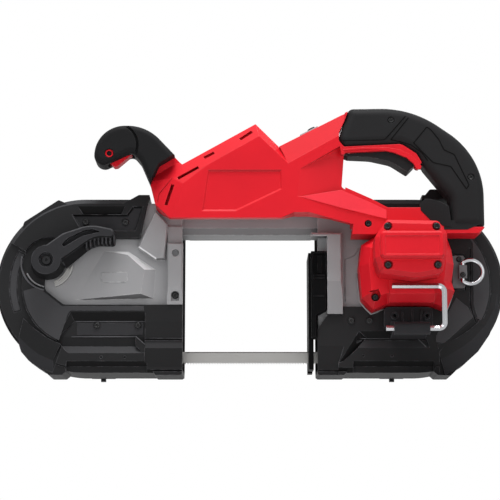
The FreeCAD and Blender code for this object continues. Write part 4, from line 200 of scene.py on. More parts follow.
RED = surface("red_polymer", linear(217, 22, 37), linear(242, 92, 98), 0.42, grain=1500.0, bump=0.05,
              edge_radius=0.9, edge_share=0.4, shine=0.22, painted_underside_shade=0.35)
# lighter copy of the red: a painted highlight for the facet over the arm
PAINTED_HIGHLIGHT_RED = surface("red_painted_highlight", linear(236, 52, 66), linear(246, 110, 114), 0.42, grain=1500.0, bump=0.05,
                   edge_radius=0.5, edge_share=0.4, shine=0.22)
BLACK = surface("black_polymer", linear(42, 42, 43), linear(124, 124, 128), 0.46, grain=1300.0, bump=0.12,
                edge_radius=0.8, edge_share=0.8, shine=0.05, painted_top_light=linear(66, 66, 68), painted_underside_shade=0.7)
# textured black: the texture is real, and its lighter grey is painted light on the guards' front-facing fields
TEXTURED_PAINTED_LIGHT = surface("textured_polymer_painted_light", linear(68, 68, 70), linear(134, 134, 138), 0.52, grain=1700.0,
                   bump=0.35, edge_radius=0.5, edge_share=0.7, shine=0.05)
# slightly lighter black: painted light on the bumpers' facets from the crease out
BUMPER_PAINTED_LIGHT = surface("bumper_painted_light", linear(48, 48, 50), linear(120, 120, 124), 0.5, grain=1500.0, bump=0.2,
                 edge_radius=0.8, edge_share=0.7, shine=0.05)
PANEL = surface("panel_polymer", linear(54, 54, 56), linear(120, 120, 124), 0.5, grain=1500.0, bump=0.2,
                edge_radius=0.8, shine=0.05)
# light grey for the lips: a painted highlight along the edges of the recesses and the lever's seat
PAINTED_LIP_HIGHLIGHT = surface("lip_painted_highlight", linear(92, 92, 95), linear(130, 130, 134), 0.5, grain=1500.0, bump=0.1,
              edge_radius=0.3, shine=0.05)
SHOE_BLACK = surface("shoe_black", linear(9, 9, 10), linear(80, 80, 82), 0.5, grain=900.0, bump=0.08,
                     edge_radius=0.5, edge_share=0.7, shine=0.05)
CLIP_BLACK = surface("clip_black", linear(46, 46, 48), linear(128, 128, 132), 0.48, grain=1300.0, bump=0.12,
                     edge_radius=0.8, edge_share=0.9, shine=0.05)
LEVER_BLACK = surface("lever_polymer", linear(50, 50, 52), linear(124, 124, 128), 0.46, grain=1500.0,
                      bump=0.15, edge_radius=0.9, edge_share=0.8, shine=0.05, painted_top_light=linear(74, 74, 76),
                      painted_underside_shade=0.8)
# lighter than the other black mouldings: painted light on latches that sit in shade under the guards
LATCH_PAINTED_LIGHT = surface("latch_painted_light", linear(88, 88, 91), linear(130, 130, 134), 0.5, grain=1500.0,
                      bump=0.12, edge_radius=0.5, shine=0.1)
HANDLE_RUBBER = surface("handle_rubber", linear(29, 29, 30), linear(70, 70, 72), 0.52, grain=2200.0,
                        bump=0.16, edge_radius=1.0, shine=0.06)
RUBBER = surface("black_rubber", linear(36, 36, 37), linear(74, 74, 76), 0.52, grain=2200.0, bump=0.16,
                 edge_radius=1.0, shine=0.06)
GRIP = surface("grip_rubber", linear(38, 38, 39), linear(74, 74, 76), 0.52, grain=2200.0, bump=0.16,
               edge_radius=1.0, shine=0.06)
# near-black: painted shade of the grooves in the grip's rubber
GROOVE_SHADE = surface("grip_groove_shade", linear(11, 11, 11), linear(30, 30, 31), 0.52, grain=2200.0, bump=0.1,
               edge_radius=0.3, shine=0.06)
CAST = surface("grey_casting", linear(146, 146, 148), linear(214, 214, 216), 0.46, metal=0.2, grain=800.0,
               bump=0.22, edge_radius=0.8)
FRAME_CAST = surface("painted_casting", linear(148, 148, 150), linear(226, 226, 228), 0.46, metal=0.2,
                     grain=800.0, bump=0.22, edge_radius=1.0, edge_share=0.9, ground=DECK_BEVELS, painted_underside_shade=0.6)
BRACKET_CAST = surface("bracket_casting", linear(92, 92, 94), linear(150, 150, 152), 0.46, metal=0.2,
                       grain=800.0, bump=0.2, edge_radius=0.8)
STEEL = surface("plain_steel", linear(160, 159, 157), linear(210, 210, 210), 0.34, metal=1.0, grain=600.0,
                bump=0.06, edge_radius=0.3, stretch=BRUSHED)
BLADE = surface("blade_steel", linear(146, 145, 143), linear(200, 200, 198), 0.40, metal=0.6, grain=500.0,
                bump=0.05, edge_radius=0.2, stretch=ROLLED)
BLADE_BACK = surface("blade_back", linear(74, 70, 68), linear(120, 118, 116), 0.44, metal=0.4, grain=500.0,
                     bump=0.04, edge_radius=0.1)
BRIGHT = surface("bright_steel", linear(172, 173, 176), linear(222, 222, 224), 0.14, metal=1.0, grain=400.0,
                 bump=0.02, edge_radius=0.4)
SCREW = surface("screw_oxide", linear(14, 14, 15), linear(150, 150, 152), 0.3, metal=0.3, grain=900.0,
                bump=0.03, edge_radius=0.25, edge_share=0.9, shine=0.4)
OXIDE = surface("black_oxide", linear(30, 30, 32), linear(110, 110, 112), 0.36, metal=0.3, grain=900.0,
                bump=0.05, edge_radius=0.4, shine=0.3)
BRASS = surface("brass", linear(190, 158, 96), linear(220, 195, 140), 0.32, metal=1.0, grain=900.0,
                bump=0.04, edge_radius=0.2)
TYRE = surface("tyre_rubber", linear(24, 24, 24), linear(50, 50, 50), 0.66, grain=700.0, bump=0.2,
               edge_radius=0.5, shine=0.2)
SILVER = surface("silver_polymer", linear(176, 176, 180), linear(215, 215, 218), 0.36, grain=1500.0,
                 bump=0.03, edge_radius=0.3)

SLOT_LOOKS = {"cast_grey": CAST, "guard_black": BLACK, "red_shell": RED, "grip_black": RUBBER,
              "control_black": BLACK, "control_silver": SILVER, "wheel_alloy": CAST, "tyre_rubber": TYRE,
              "blade_steel": BLADE, "bright_steel": BRIGHT, "plain_steel": STEEL, "screw_black": OXIDE,
              "contact_brass": BRASS}
NODE_LOOKS = {"rear_grip_front": GRIP, "rear_grip_back": GRIP, "main_frame": FRAME_CAST,
              "hang_ring_bracket": BRACKET_CAST, "tension_cam": OXIDE, "shoe_slider": SHOE_BLACK,
              "shoe": SHOE_BLACK, "hex_key_clip": CLIP_BLACK, "tension_lever": LEVER_BLACK,
              "button_head_screws": SCREW, "front_handle": HANDLE_RUBBER, "left_cover_latch": LATCH_PAINTED_LIGHT,
              "right_cover_latch": LATCH_PAINTED_LIGHT}

for entry in frame["record"]["subparts"]:
    mesh = nodes[entry["node"]].data
    mesh.materials.clear()
    mesh.materials.append(NODE_LOOKS.get(entry["node"], SLOT_LOOKS[entry["material_slot"]]))


# Ways to make a piece

BEAD_SIDES = 14
FIELD_PROUD = 0.4
FIELD_ROOT = 1.0


def add_mesh(name, points, faces, body, slot, look=None, smooth=True):
    """A mesh from an array of points, riding on a body, in its slot's finish unless it has its own."""
    mesh = bpy.data.meshes.new(name)
    mesh.from_pydata((points.reshape(-1, 3) * MM).tolist(), [], faces)
    if smooth:
        mesh.shade_smooth()
    else:
        mesh.shade_flat()
    mesh.materials.append(look or SLOT_LOOKS[slot])
    piece = bpy.data.objects.new(name, mesh)
    bpy.context.scene.collection.objects.link(piece)
    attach(piece, body)
    return piece


def wrapped_faces(rows, columns, closed):
    """Faces of a grid that closes on itself across, and along where closed; its ends are capped where not."""
    i, j = np.meshgrid(np.arange(rows if closed else rows - 1), np.arange(columns), indexing="ij")
    k = (i + 1) % rows
    m = (j + 1) % columns
    corners = [i * columns + j, i * columns + m, k * columns + m, k * columns + j]
    faces = np.stack(corners, -1).reshape(-1, 4).tolist()
    if not closed:
        ring = np.arange(columns)
        faces += [ring[::-1].tolist(), (ring + (rows - 1) * columns).tolist()]
    return faces


def arc(centre, radius, start, end, count=40):
    """Points on a circle in the front view, from one angle in degrees to another."""
    turn = np.radians(np.linspace(start, end, count))
    return np.stack([centre[0] + radius * np.cos(turn), centre[1] + radius * np.sin(turn)], -1)


def at_depth(points, depths):
    """Front-view points with a depth each, or one for all."""
    points = np.asarray(points, float)
    depths = np.broadcast_to(np.asarray(depths, float), len(points))
    return np.stack([points[:, 0], depths, points[:, 1]], -1)


def patch(name, front, back, body, slot, look):
    """Moulded patch: a closed outline of points, each at its own depth, carried straight back to one depth."""
    count = len(front)
    step = np.arange(count)
    after = (step + 1) % count
    points = np.stack([front, front])
    points[1, :, 1] = back
    sides = np.stack([step, step + count, after + count, after], -1)
    faces = [step.tolist(), (step[::-1] + count).tolist()] + sides.tolist()
    add_mesh(name, points, faces, body, slot, look, smooth=False)


def field(name, outline, face, look):
    """Field of a guard's moulding: a flat patch that stands just proud of a face."""
    patch(name, at_depth(outline, face - FIELD_PROUD), face + FIELD_ROOT, "frame", "guard_black", look)


def bead(name, path, radius, depth, closed, body, slot, look):
    """Round bead half sunk in a face: a circle carried along a front-view path at one depth, or a depth each."""
    ahead = np.roll(path, -1, 0) - np.roll(path, 1, 0)
    if not closed:
        ahead[0] = path[1] - path[0]
        ahead[-1] = path[-1] - path[-2]
    ahead = ahead / np.linalg.norm(ahead, axis=1)[:, None]
    turn = np.linspace(0, 2 * np.pi, BEAD_SIDES, endpoint=False)[None, :]
    across = radius * np.cos(turn)
    points = np.stack([path[:, :1] + ahead[:, 1:] * across,
                       depth + radius * np.sin(turn) + 0 * path[:, :1],
                       path[:, 1:] - ahead[:, :1] * across], -1)
    add_mesh(name, points, wrapped_faces(len(path), BEAD_SIDES, closed), body, slot, look)


def ridge(name, rows, looks, body, slot):
    """Faceted bar: rows of points side by side, ruled one to the next and closed behind, a finish per strip."""
    points = np.swapaxes(np.asarray(rows, float), 0, 1)
    stations, count = points.shape[:2]
    piece = add_mesh(name, points, wrapped_faces(stations, count, False), body, slot, looks[0], smooth=False)
    for look in looks[1:]:
        piece.data.materials.append(look)
    finish = np.concatenate([np.tile(np.arange(count), stations - 1), [0, 0]]).astype(np.int32)
    piece.data.polygons.foreach_set("material_index", finish)


# Handle and guards

HANDLE_FACE = -71.5 + WHEEL_Y  # depth of the handle's round end
POMMEL = (-143.5, 222.6)
POMMEL_SUNK = 2.1
RING_REACH = 3.5
RING_RADIUS = 0.9
RING_STEPS = (64, 16)

GUARD_FACE = -36.0 + WHEEL_Y  # depth of the guards' plateaus
LEVER_AXIS = (-207.0, 115.0)
LEFT_ROUND = (-170, 92.5)  # centre of the left guard's round end
RIGHT_ROUND = (170, 92.5)
UPPER_PANEL_SUNK = 3.0
CRESCENT_SUNK = 4.0
RECESS_SUNK = 4.0
BUMPER_DEPTH = 32
FACET_PROUD = 0.1
WALL_FOOT = 3.8
WALL_ROOT = 4.4
BAR_ROOT = 6
LIPS = {  # each lip's line, and how far it lies behind the plateau
    "left_recess_lip": ([(-182.5, 39.3), (-116.7, 39.3)], 3.9),
    "left_floor_lip": ([(-178.5, 55), (-107.6, 55)], RECESS_SUNK),
    "left_slant_lip": ([(-116.7, 39.4), (-107.1, 31.0)], -FACET_PROUD),
    "right_slant_lip": ([(171, 37.2), (181.6, 26.4)], 1.2),
    "right_bar_lip": ([(112, 37.6), (170, 37.6)], 4.6)}
LIP_RADIUS = 0.5
SEAT_RADIUS = 0.8
SEAT_RING_SUNK = 3


def pommel_ring():
    """Ring in the pommel's recess: a circle carried round a larger circle that faces the front."""
    u = np.linspace(0, 2 * np.pi, RING_STEPS[0], endpoint=False)[:, None]
    v = np.linspace(0, 2 * np.pi, RING_STEPS[1], endpoint=False)[None, :]
    reach = RING_REACH + RING_RADIUS * np.cos(v)
    x = POMMEL[0] + reach * np.cos(u)
    y = HANDLE_FACE + POMMEL_SUNK + RING_RADIUS * np.sin(v) + 0 * u
    z = POMMEL[1] + reach * np.sin(u)
    add_mesh("pommel_ring", np.stack([x, y, z], -1), wrapped_faces(*RING_STEPS, True), "frame", "red_shell")


def guard_fields():
    """Fields of the two guards: arcs about the guards' round ends, closed by the mouldings' straight edges."""
    left_low = np.concatenate([
        arc(LEFT_ROUND, 62.3, 186, 246.5),
        np.array([(-185.6, 63.6), (-183.4, 65.8), (-108.5, 65.8), (-108.5, 70.4), (-192.5, 70.4), (-212, 86.2)]),
        arc(LEVER_AXIS, 28.6, 262, 243, 10)])
    # the plateau and crescent fields take the lighter textured black, which paints the light on them
    field("left_guard_field", left_low, GUARD_FACE, TEXTURED_PAINTED_LIGHT)
    crescent = np.concatenate([arc(LEFT_ROUND, 76.2, 153, 201), arc(LEFT_ROUND, 69.8, 201, 153)])
    field("left_guard_crescent", crescent, GUARD_FACE + CRESCENT_SUNK, TEXTURED_PAINTED_LIGHT)
    upper = [(-172.8, 150), (-119.1, 150), (-112, 173), (-120.2, 173), (-126.2, 164.5), (-180.8, 164.5)]
    field("left_upper_panel", upper, GUARD_FACE + UPPER_PANEL_SUNK, PANEL)
    recess = [(-176.8, 41.2), (-109.2, 41.2), (-109.2, 53.3), (-176.8, 53.3)]
    field("left_recess_floor", recess, GUARD_FACE + RECESS_SUNK, PANEL)
    right_low = [(189.5, 33.5), (198.2, 32.6), (228.2, 59.3), (222.5, 69.5), (211, 79), (204, 66), (190, 40)]
    field("right_guard_field", right_low, GUARD_FACE, TEXTURED_PAINTED_LIGHT)
    right_crescent = np.concatenate([
        arc(RIGHT_ROUND, 75.3, -29, 44),
        np.array([(229.2, 136), (228.8, 71.5), (232.6, 58)])])
    field("right_guard_crescent", right_crescent, GUARD_FACE, TEXTURED_PAINTED_LIGHT)


def corner_bumper(name, inner, crease, outline, depths):
    """Creased bumper at a low outer corner: rows from the plateau's edge to the crease, the outline and behind."""
    back = GUARD_FACE + BUMPER_DEPTH
    rows = [at_depth(inner, back), at_depth(inner, GUARD_FACE + depths[0]),
            at_depth(crease, GUARD_FACE + depths[1]), at_depth(outline, GUARD_FACE + depths[2]),
            at_depth(outline, back)]
    # the facets from crease to outline and the outer wall take the lighter black, painted light
    ridge(name, rows, [BLACK, BLACK, BUMPER_PAINTED_LIGHT, BUMPER_PAINTED_LIGHT, BLACK], "frame", "guard_black")


def corner_bumpers():
    """Bumpers of the two guards. The right one's upper end is drawn back into the guard."""
    corner_bumper(
        "left_corner_bumper",
        [(-231.6, 58.2), (-219.7, 47.0), (-213, 42), (-207.3, 38.1), (-199.5, 34.3), (-192.8, 31.4)],
        [(-236.1, 39.2), (-227.1, 30.3), (-221, 25.3), (-215.8, 21.5), (-208, 17.8), (-200.8, 14.8)],
        [(-235.4, 30), (-233.3, 23.7), (-225.6, 14.8), (-218, 9.3), (-211.1, 4.8), (-199.5, 0.4)],
        (-0.2, 1.9, 1.6))
    drawn_in = np.array([0, 0, 0, 0, 0, 0, 2.6])
    corner_bumper(
        "right_corner_bumper",
        [(190.6, 31.3), (201.5, 33.6), (211.6, 37.8), (222.5, 45.2), (232.1, 52.9), (239, 64), (245.6, 82.5)],
        [(194.2, 15.6), (206, 22.2), (216.5, 28.6), (225.8, 35.2), (240.5, 50.9), (250.6, 68.9), (254.6, 87.6)],
        [(198.5, 0.4), (208, 4.6), (217.5, 10.4), (232.7, 24.1), (244.5, 41), (255, 66), (258.8, 87.8)],
        (drawn_in - 0.25, drawn_in + 0.5, drawn_in + 2.6))


def guard_facets():
    """Sloped wall and slanted bar end of the left guard's recess, and lips along both guards' recesses in a lighter
    grey, a painted highlight.
    """
    proud = GUARD_FACE - FACET_PROUD
    wall = at_depth([(-183.7, 64.0), (-197.6, 36.2), (-179.5, 55.0)], [proud, proud, GUARD_FACE + WALL_FOOT])
    patch("left_recess_wall", wall, GUARD_FACE + WALL_ROOT, "frame", "guard_black", BLACK)
    slant = [(-116.7, 39.4), (-116.6, 29.8), (-110.2, 22.9), (-107.1, 22.3), (-107.1, 31.0)]
    patch("left_bar_end", at_depth(slant, proud), GUARD_FACE + BAR_ROOT, "frame", "guard_black", BLACK)
    for name, (line, sunk) in LIPS.items():
        bead(name, np.array(line, float), LIP_RADIUS, GUARD_FACE + sunk, False, "frame", "guard_black", PAINTED_LIP_HIGHLIGHT)


def lever_seat():
    """Rims of the tension lever's seat: beads on arcs about the lever's axis, one moulded in a lighter grey that paints
    its highlight, and one bare metal.
    """
    bead("lever_seat_rim", arc(LEVER_AXIS, 28, 166, 262), SEAT_RADIUS, GUARD_FACE, False, "frame",
         "guard_black", PAINTED_LIP_HIGHLIGHT)
    bead("lever_seat_ring", arc(LEVER_AXIS, 24.4, 205, 260), SEAT_RADIUS, GUARD_FACE + SEAT_RING_SUNK, False,
         "frame", "cast_grey", CAST)


# Motor bay and arm

BAY_FACE = 9.35
BAY_RADIUS = 0.6
SEAT_LIP_RADIUS = 0.9
ARM_FACE = -31.75
ARM_CREASE = -33.0
FACET_ROOT = -31.0
SCREW_PLACE = (120.0, -31.0, 150.4)
SCREW_REACH = (1.3, 1.5, 2.2, 3.0, 3.4, 3.4)
SCREW_DEPTH = (1.4, 0.1, 0.0, 0.4, 1.2, 3.0)
SCREW_STEPS = 36


def motor_bay_edge():
    """Bare edge of the casting beside the motor: a bead up the web and round its shoulder."""
    web = np.array([(97.6, 76), (97.7, 98), (97.9, 120)])
    line = np.concatenate([web, arc((97.9, 136), 15, 285, 345, 8)])
    bead("motor_bay_edge", line, BAY_RADIUS, BAY_FACE, False, "frame", "cast_grey", FRAME_CAST)


def motor_seat():
    """Bright lip of the motor's seat: beads along the lower left and lower right of the motor's base."""
    left_lip = [(109.6, 104), (110.6, 90), (112.2, 75), (117.4, 68.4), (123.6, 62.2), (130, 64.4), (137.4, 67.8)]
    right_lip = [(200, 63.4), (203.6, 72), (207.4, 82)]
    for name, line in (("motor_seat_left", left_lip), ("motor_seat_right", right_lip)):
        bead(name, np.array(line), SEAT_LIP_RADIUS, GUARD_FACE, False, "frame", "cast_grey", CAST)


def thumb_facet():
    """Facet over the arm in a lighter red, a painted highlight: flat between the arm's upper edge and a crease that
    stands proud.
    """
    outline = [(50.8, 177.7), (93.4, 165.7), (138.1, 154.4), (138.1, 163.8), (121.8, 171.8), (92.2, 184.6)]
    depths = [ARM_FACE, ARM_CREASE, ARM_CREASE, ARM_FACE, ARM_FACE, ARM_FACE]
    patch("thumb_facet", at_depth(outline, depths), FACET_ROOT, "frame", "red_shell", PAINTED_HIGHLIGHT_RED)


def housing_screw():
    """Button head screw in the arm: a profile of radius and depth carried round the screw's axis."""
    x, y, z = SCREW_PLACE
    reach = np.array(SCREW_REACH)[:, None]
    depth = np.array(SCREW_DEPTH)[:, None]
    turn = np.linspace(2 * np.pi, 0, SCREW_STEPS, endpoint=False)[None, :]
    points = np.stack([x + reach * np.cos(turn), y + depth + 0 * turn, z + reach * np.sin(turn)], -1)
    faces = wrapped_faces(len(SCREW_REACH), SCREW_STEPS, False)
    add_mesh("housing_screw", points, faces, "frame", "screw_black")


# Blade

BLADE_MIDDLE = 21.2
BLADE_HALF = 6.35
BLADE_SIDE = 0.32
BLADE_TWIST = math.radians(65)
BACK_REACH = 67
BACK_STEPS = 24
BACK_RADIUS = 0.5
BACK_INSET = 0.35
TOOTH_PITCH = 2.79
TEETH_EACH_WAY = 24
TOOTH_ALONG = (-0.9, 0, 0.3)
TOOTH_ACROSS = (5.4, 7.3, 5.4)


def blade_edges():
    """The blade's dark back, a bead on its upper edge, and its tooth tips, one triangle carried through for each."""
    middle = np.array([WHEEL_Y, BLADE_MIDDLE])
    lean = np.array([math.cos(BLADE_TWIST), -math.sin(BLADE_TWIST)])
    through = np.array([math.sin(BLADE_TWIST), math.cos(BLADE_TWIST)])
    back = middle - lean * (BLADE_HALF - BACK_INSET)
    line = np.stack([np.linspace(-BACK_REACH, BACK_REACH, BACK_STEPS), np.full(BACK_STEPS, back[1])], -1)
    bead("blade_back_edge", line, BACK_RADIUS, back[0], False, "frame", "blade_steel", BLADE_BACK)
    tips = np.arange(-TEETH_EACH_WAY, TEETH_EACH_WAY + 1) * TOOTH_PITCH
    side = np.repeat([-BLADE_SIDE, BLADE_SIDE], 3)
    points = np.empty((tips.size, 6, 3))
    points[..., 0] = tips[:, None] + np.tile(TOOTH_ALONG, 2)
    points[..., 1:] = np.tile(TOOTH_ACROSS, 2)[:, None] * lean + side[:, None] * through + middle
    first = 6 * np.arange(tips.size)[:, None, None]
    ends = (first + np.array([[0, 1, 2], [5, 4, 3]])).reshape(-1, 3).tolist()
    walls = (first + np.array([[1, 0, 3, 4], [2, 1, 4, 5], [0, 2, 5, 3]])).reshape(-1, 4).tolist()
    add_mesh("blade_tooth_tips", points, ends + walls, "frame", "blade_steel", smooth=False)


# Rear grip

SEAM_RADIUS = 0.55
SEAM_STEP = 1.2
GRIP_SEAMS = [
    [(95, 236), (134.4, 236.6), (137.8, 237.2), (158.9, 261.6)],
    [(161.8, 259.8), (143.6, 236.8), (153.4, 235.2), (164.4, 231.4), (174.8, 223.6), (180.8, 215)],
    [(180.4, 250.1), (166.7, 233.3), (186.2, 212.9), (204.2, 208.7), (219.4, 185.5), (222.1, 189.6),
     (207.9, 221.3), (197.5, 226.1), (192.5, 236.9), (184.5, 247.1), (180.4, 250.1)]]
NO_AREA = 1e-9
SLACK = 1e-6
STRIP_FACE = -31.8
STRIP_ROOT = -28.6
CUFF_FACE = -31.9
CUFF_TOP_FACE = -31.2
CUFF_ROOT = -28
CHEEK_FACE = -32.0
CHEEK_ROOT = -24


def spaced(line, step):
    """Points at even steps along a line of straight runs."""
    line = np.asarray(line, float)
    run = np.concatenate([[0], np.cumsum(np.linalg.norm(np.diff(line, axis=0), axis=1))])
    at = np.linspace(0, run[-1], int(run[-1] / step) + 1)
    return np.stack([np.interp(at, run, line[:, 0]), np.interp(at, run, line[:, 1])], -1)


def depth_on(node, points, side):
    """Depth of a solid's face at front-view points: each triangle's plane where it covers a point, the outermost taken.

    A triangle covers a point whose shares s and t along two of its sides are positive and add up to at most 1.
    """
    mesh = nodes[node].data
    mesh.calc_loop_triangles()
    place = np.empty(len(mesh.vertices) * 3, np.float32)
    mesh.vertices.foreach_get("co", place)
    corners = np.empty(len(mesh.loop_triangles) * 3, np.int32)
    mesh.loop_triangles.foreach_get("vertices", corners)
    world = np.array(nodes[node].matrix_world)
    place = (place.reshape(-1, 3) @ world[:3, :3].T + world[:3, 3]) / MM
    a, b, c = np.swapaxes(place[corners.reshape(-1, 3)], 0, 1)
    u = b - a
    v = c - a
    p = points[:, None, :] - a[None][:, :, [0, 2]]
    area = u[:, 0] * v[:, 2] - v[:, 0] * u[:, 2]
    area = np.where(np.abs(area) < NO_AREA, np.nan, area)
    s = (p[..., 0] * v[:, 2] - v[:, 0] * p[..., 1]) / area
    t = (u[:, 0] * p[..., 1] - p[..., 0] * u[:, 2]) / area
    covers = (s > -SLACK) & (t > -SLACK) & (s + t < 1 + SLACK)
    depth = a[:, 1] + s * u[:, 1] + t * v[:, 1]
    return side * np.where(covers, side * depth, -np.inf).max(1)


def grip_seams():
    """Grooves of the grip's rubber, front and back: thin dark beads laid on the faces of its two halves, painting the
    grooves' shade.
    """
    bpy.context.view_layer.update()
    for node, side in (("rear_grip_front", -1), ("rear_grip_back", 1)):
        for number, line in enumerate(GRIP_SEAMS):
            closed = line[0] == line[-1]
            path = spaced(line, SEAM_STEP)
            path = path[:-1] if closed else path
            depth = depth_on(node, path, side)
            on_face = np.isfinite(depth)
            bead("%s_seam_%d" % (node, number + 1), path[on_face], SEAM_RADIUS, depth[on_face][:, None], closed,
                 "frame", "grip_black", GROOVE_SHADE)


def grip_strip():
    """Red strip under the grip: its lower and upper curves, carried back a few millimetres."""
    lower = [(94.3, 225.6), (117.5, 227.2), (132.7, 226.4), (146.5, 223.6), (159.4, 218.3), (166.3, 212.3),
             (169.4, 206.4), (173.6, 206.2)]
    upper = [(174.5, 209.2), (169.8, 215.9), (162.8, 221.9), (152.4, 226.9), (140.8, 228.6), (126.8, 229.3),
             (109.4, 228.6), (94.3, 226.9)]
    patch("grip_strip", at_depth(lower + upper, STRIP_FACE), STRIP_ROOT, "frame", "red_shell", RED)


def grip_root():
    """Rubber at the grip's root: a cuff round its foot and a cheek in front of the dock, outlines carried back."""
    cuff = [(196, 143.6), (219.8, 143.6), (233.6, 149.6), (233.6, 153), (196, 153)]
    depths = [CUFF_FACE, CUFF_FACE, CUFF_FACE, CUFF_TOP_FACE, CUFF_TOP_FACE]
    patch("grip_cuff", at_depth(cuff, depths), CUFF_ROOT, "frame", "grip_black", RUBBER)
    cheek = [(172.9, 163.4), (183.6, 152.2), (197.8, 146.5), (204.2, 146.5), (202.4, 160), (201.4, 168),
             (192, 172.6), (183, 175.2), (177, 175.2), (172.4, 170)]
    patch("grip_cheek", at_depth(cheek, CHEEK_FACE), CHEEK_ROOT, "frame", "grip_black", RUBBER)


# Rear covers

COVER_BACK = 36.3 + WHEEL_Y  # depth of the covers' back face
COVER_RADIUS = 90
COVER_EDGE = 70  # from the middle of the saw to a cover's straight edge
COVER_CORNER = 9.0
RIM_INSET = 17
RIM_BEAD = 1.6
INNER_INSET = 23
INNER_BEAD = 1.0
HUB_X = 169
HUB_Z = 96
HUB_RADIUS = 27
HUB_BEAD = 1.6
RIB_TURNS = (90, 162, 234, 306, 18)
RIB_RUN = (31, 58)
RIB_STEPS = 12
RIB_BEAD = 1.4


def cover_panel(hand, inset):
    """Outline of a rear cover drawn in: a half circle about the wheel, with rounded corners at the throat."""
    radius = COVER_RADIUS - inset
    corner_x = -COVER_EDGE - inset - COVER_CORNER
    rise = radius - COVER_CORNER
    path = np.concatenate([
        arc(LEFT_ROUND, radius, 90, 270, 72),
        arc((corner_x, LEFT_ROUND[1] - rise), COVER_CORNER, 270, 360, 10),
        arc((corner_x, LEFT_ROUND[1] + rise), COVER_CORNER, 0, 90, 10)])
    return path if hand < 0 else np.stack([-path[::-1, 0], path[::-1, 1]], -1)


def cover_mouldings():
    """Beads on the rear covers: two along the outline, one round the wheel's hub, ribs between hub and rim."""
    for hand, cover in ((-1, "left_cover"), (1, "right_cover")):
        hub = np.array([hand * HUB_X, HUB_Z])
        hub_ring = arc(hub, HUB_RADIUS, 0, 360, 73)[:-1]
        rings = (("_rim_bead", cover_panel(hand, RIM_INSET), RIM_BEAD),
                 ("_inner_bead", cover_panel(hand, INNER_INSET), INNER_BEAD),
                 ("_hub_bead", hub_ring, HUB_BEAD))
        for ending, path, radius in rings:
            bead(cover + ending, path, radius, COVER_BACK, True, cover, "guard_black", BLACK)
        for number, turn in enumerate(RIB_TURNS):
            way = np.array([math.cos(math.radians(turn)), math.sin(math.radians(turn))])
            rib = hub + np.linspace(*RIB_RUN, RIB_STEPS)[:, None] * way
            name = "%s_rib_%d" % (cover, number + 1)
            bead(name, rib, RIB_BEAD, COVER_BACK, False, cover, "guard_black", BLACK)


pommel_ring()
guard_fields()
corner_bumpers()
guard_facets()
lever_seat()
motor_bay_edge()
thumb_facet()
grip_strip()
blade_edges()
grip_seams()
grip_root()
housing_screw()
cover_mouldings()
motor_seat()


# Stage, light and camera, in metres

FLOOR_HALF = 6
FLOOR_PAINT = (0.8, 0.8, 0.8, 1)
FLOOR_FADE = (0.45, 1.3)
WORLD_LIGHT = 0.12
LAMPS = [  # name, place, target, size, power
    ("key", (-0.7, -1.5, 1.7), (0, 0, 0.12), 0.9, 9),
    ("top", (0.05, -0.5, 1.8), (0, 0, 0.1), 0.9, 33),
    ("fill", (1.3, -1.6, 0.5), (0, 0, 0.1), 1.2, 5),
    ("low", (-0.1, -1.1, -0.75), (0, 0, 0.05), 0.9, 3),
    ("back", (0.5, 1.7, 1.0), (0, 0, 0.12), 1.1, 16)]
CAMERA_TARGET = (0, WHEEL_Y * MM, 0.135)
CAMERA_DISTANCE = 1.8
CAMERA_RISE = math.radians(-10)
CAMERA_SENSOR = 36
CAMERA_LENS = 123.43


def area_light(name, place, target, size, power):
    """Round soft lamp that faces a target."""
    lamp = bpy.data.lights.new(name, "AREA")
    lamp.shape = "DISK"
    lamp.size = size
    lamp.energy = power
    obj = bpy.data.objects.new(name, lamp)
    obj.location = place
    obj.rotation_euler = (Vector(target) - Vector(place)).to_track_quat("-Z", "Y").to_euler()
    bpy.context.scene.collection.objects.link(obj)


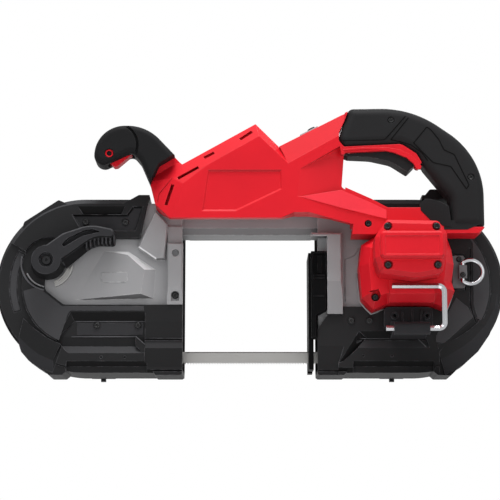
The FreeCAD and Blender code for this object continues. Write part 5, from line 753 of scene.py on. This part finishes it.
def make_floor():
    """Pale floor that fades with distance, clear from below, to shadow rays and to reflections."""
    mesh = bpy.data.meshes.new("floor")
    r = FLOOR_HALF
    mesh.from_pydata([(-r, -r, 0), (r, -r, 0), (r, r, 0), (-r, r, 0)], [], [(0, 1, 2, 3)])
    floor = bpy.data.objects.new("floor", mesh)
    bpy.context.scene.collection.objects.link(floor)
    n = Nodes("floor_paint")
    paint = n.add("ShaderNodeBsdfDiffuse", Color=FLOOR_PAINT)
    clear = n.add("ShaderNodeBsdfTransparent")
    geometry = n.add("ShaderNodeNewGeometry")
    path = n.add("ShaderNodeLightPath")
    away = n.vector("DISTANCE", n.add("ShaderNodeTexCoord").outputs["Object"], (0, 0, 0))
    faded = n.math("MAXIMUM", geometry.outputs["Backfacing"], n.ramp(away, *FLOOR_FADE))
    seen = n.math("MULTIPLY", faded, path.outputs["Is Camera Ray"])
    through = n.math("MAXIMUM", path.outputs["Is Shadow Ray"], path.outputs["Is Glossy Ray"])
    mixed = n.add("ShaderNodeMixShader")
    n.put(mixed, 0, n.math("MAXIMUM", seen, through))
    n.put(mixed, 1, paint.outputs[0])
    n.put(mixed, 2, clear.outputs[0])
    n.put(n.out, "Surface", mixed.outputs[0])
    mesh.materials.append(n.mat)


def make_world():
    """White for what the camera and the reflections see, a softer level as light."""
    world = bpy.data.worlds.new("studio")
    bpy.context.scene.world = world
    world.use_nodes = True
    tree = world.node_tree
    tree.nodes.clear()
    out = tree.nodes.new("ShaderNodeOutputWorld")
    back = tree.nodes.new("ShaderNodeBackground")
    path = tree.nodes.new("ShaderNodeLightPath")
    level = None
    for ray in ("Is Camera Ray", "Is Glossy Ray", "Is Transmission Ray"):
        node = tree.nodes.new("ShaderNodeMath")
        node.operation = "MAXIMUM"
        node.inputs[1].default_value = WORLD_LIGHT
        tree.links.new(path.outputs[ray], node.inputs[0])
        if level:
            tree.links.new(level, node.inputs[1])
        level = node.outputs[0]
    back.inputs["Color"].default_value = (1, 1, 1, 1)
    tree.links.new(level, back.inputs["Strength"])
    tree.links.new(back.outputs[0], out.inputs["Surface"])


def make_camera():
    """Long lens that looks up at the saw's front from below the floor's level."""
    data = bpy.data.cameras.new("camera")
    data.sensor_width = CAMERA_SENSOR
    data.lens = CAMERA_LENS
    obj = bpy.data.objects.new("camera", data)
    target = Vector(CAMERA_TARGET)
    obj.location = target + Vector((0, -math.cos(CAMERA_RISE), math.sin(CAMERA_RISE))) * CAMERA_DISTANCE
    obj.rotation_euler = (target - obj.location).to_track_quat("-Z", "Y").to_euler()
    bpy.context.scene.collection.objects.link(obj)
    bpy.context.scene.camera = obj


bpy.context.scene.view_settings.view_transform = "Standard"
make_floor()
make_world()
for lamp in LAMPS:
    area_light(*lamp)
make_camera()
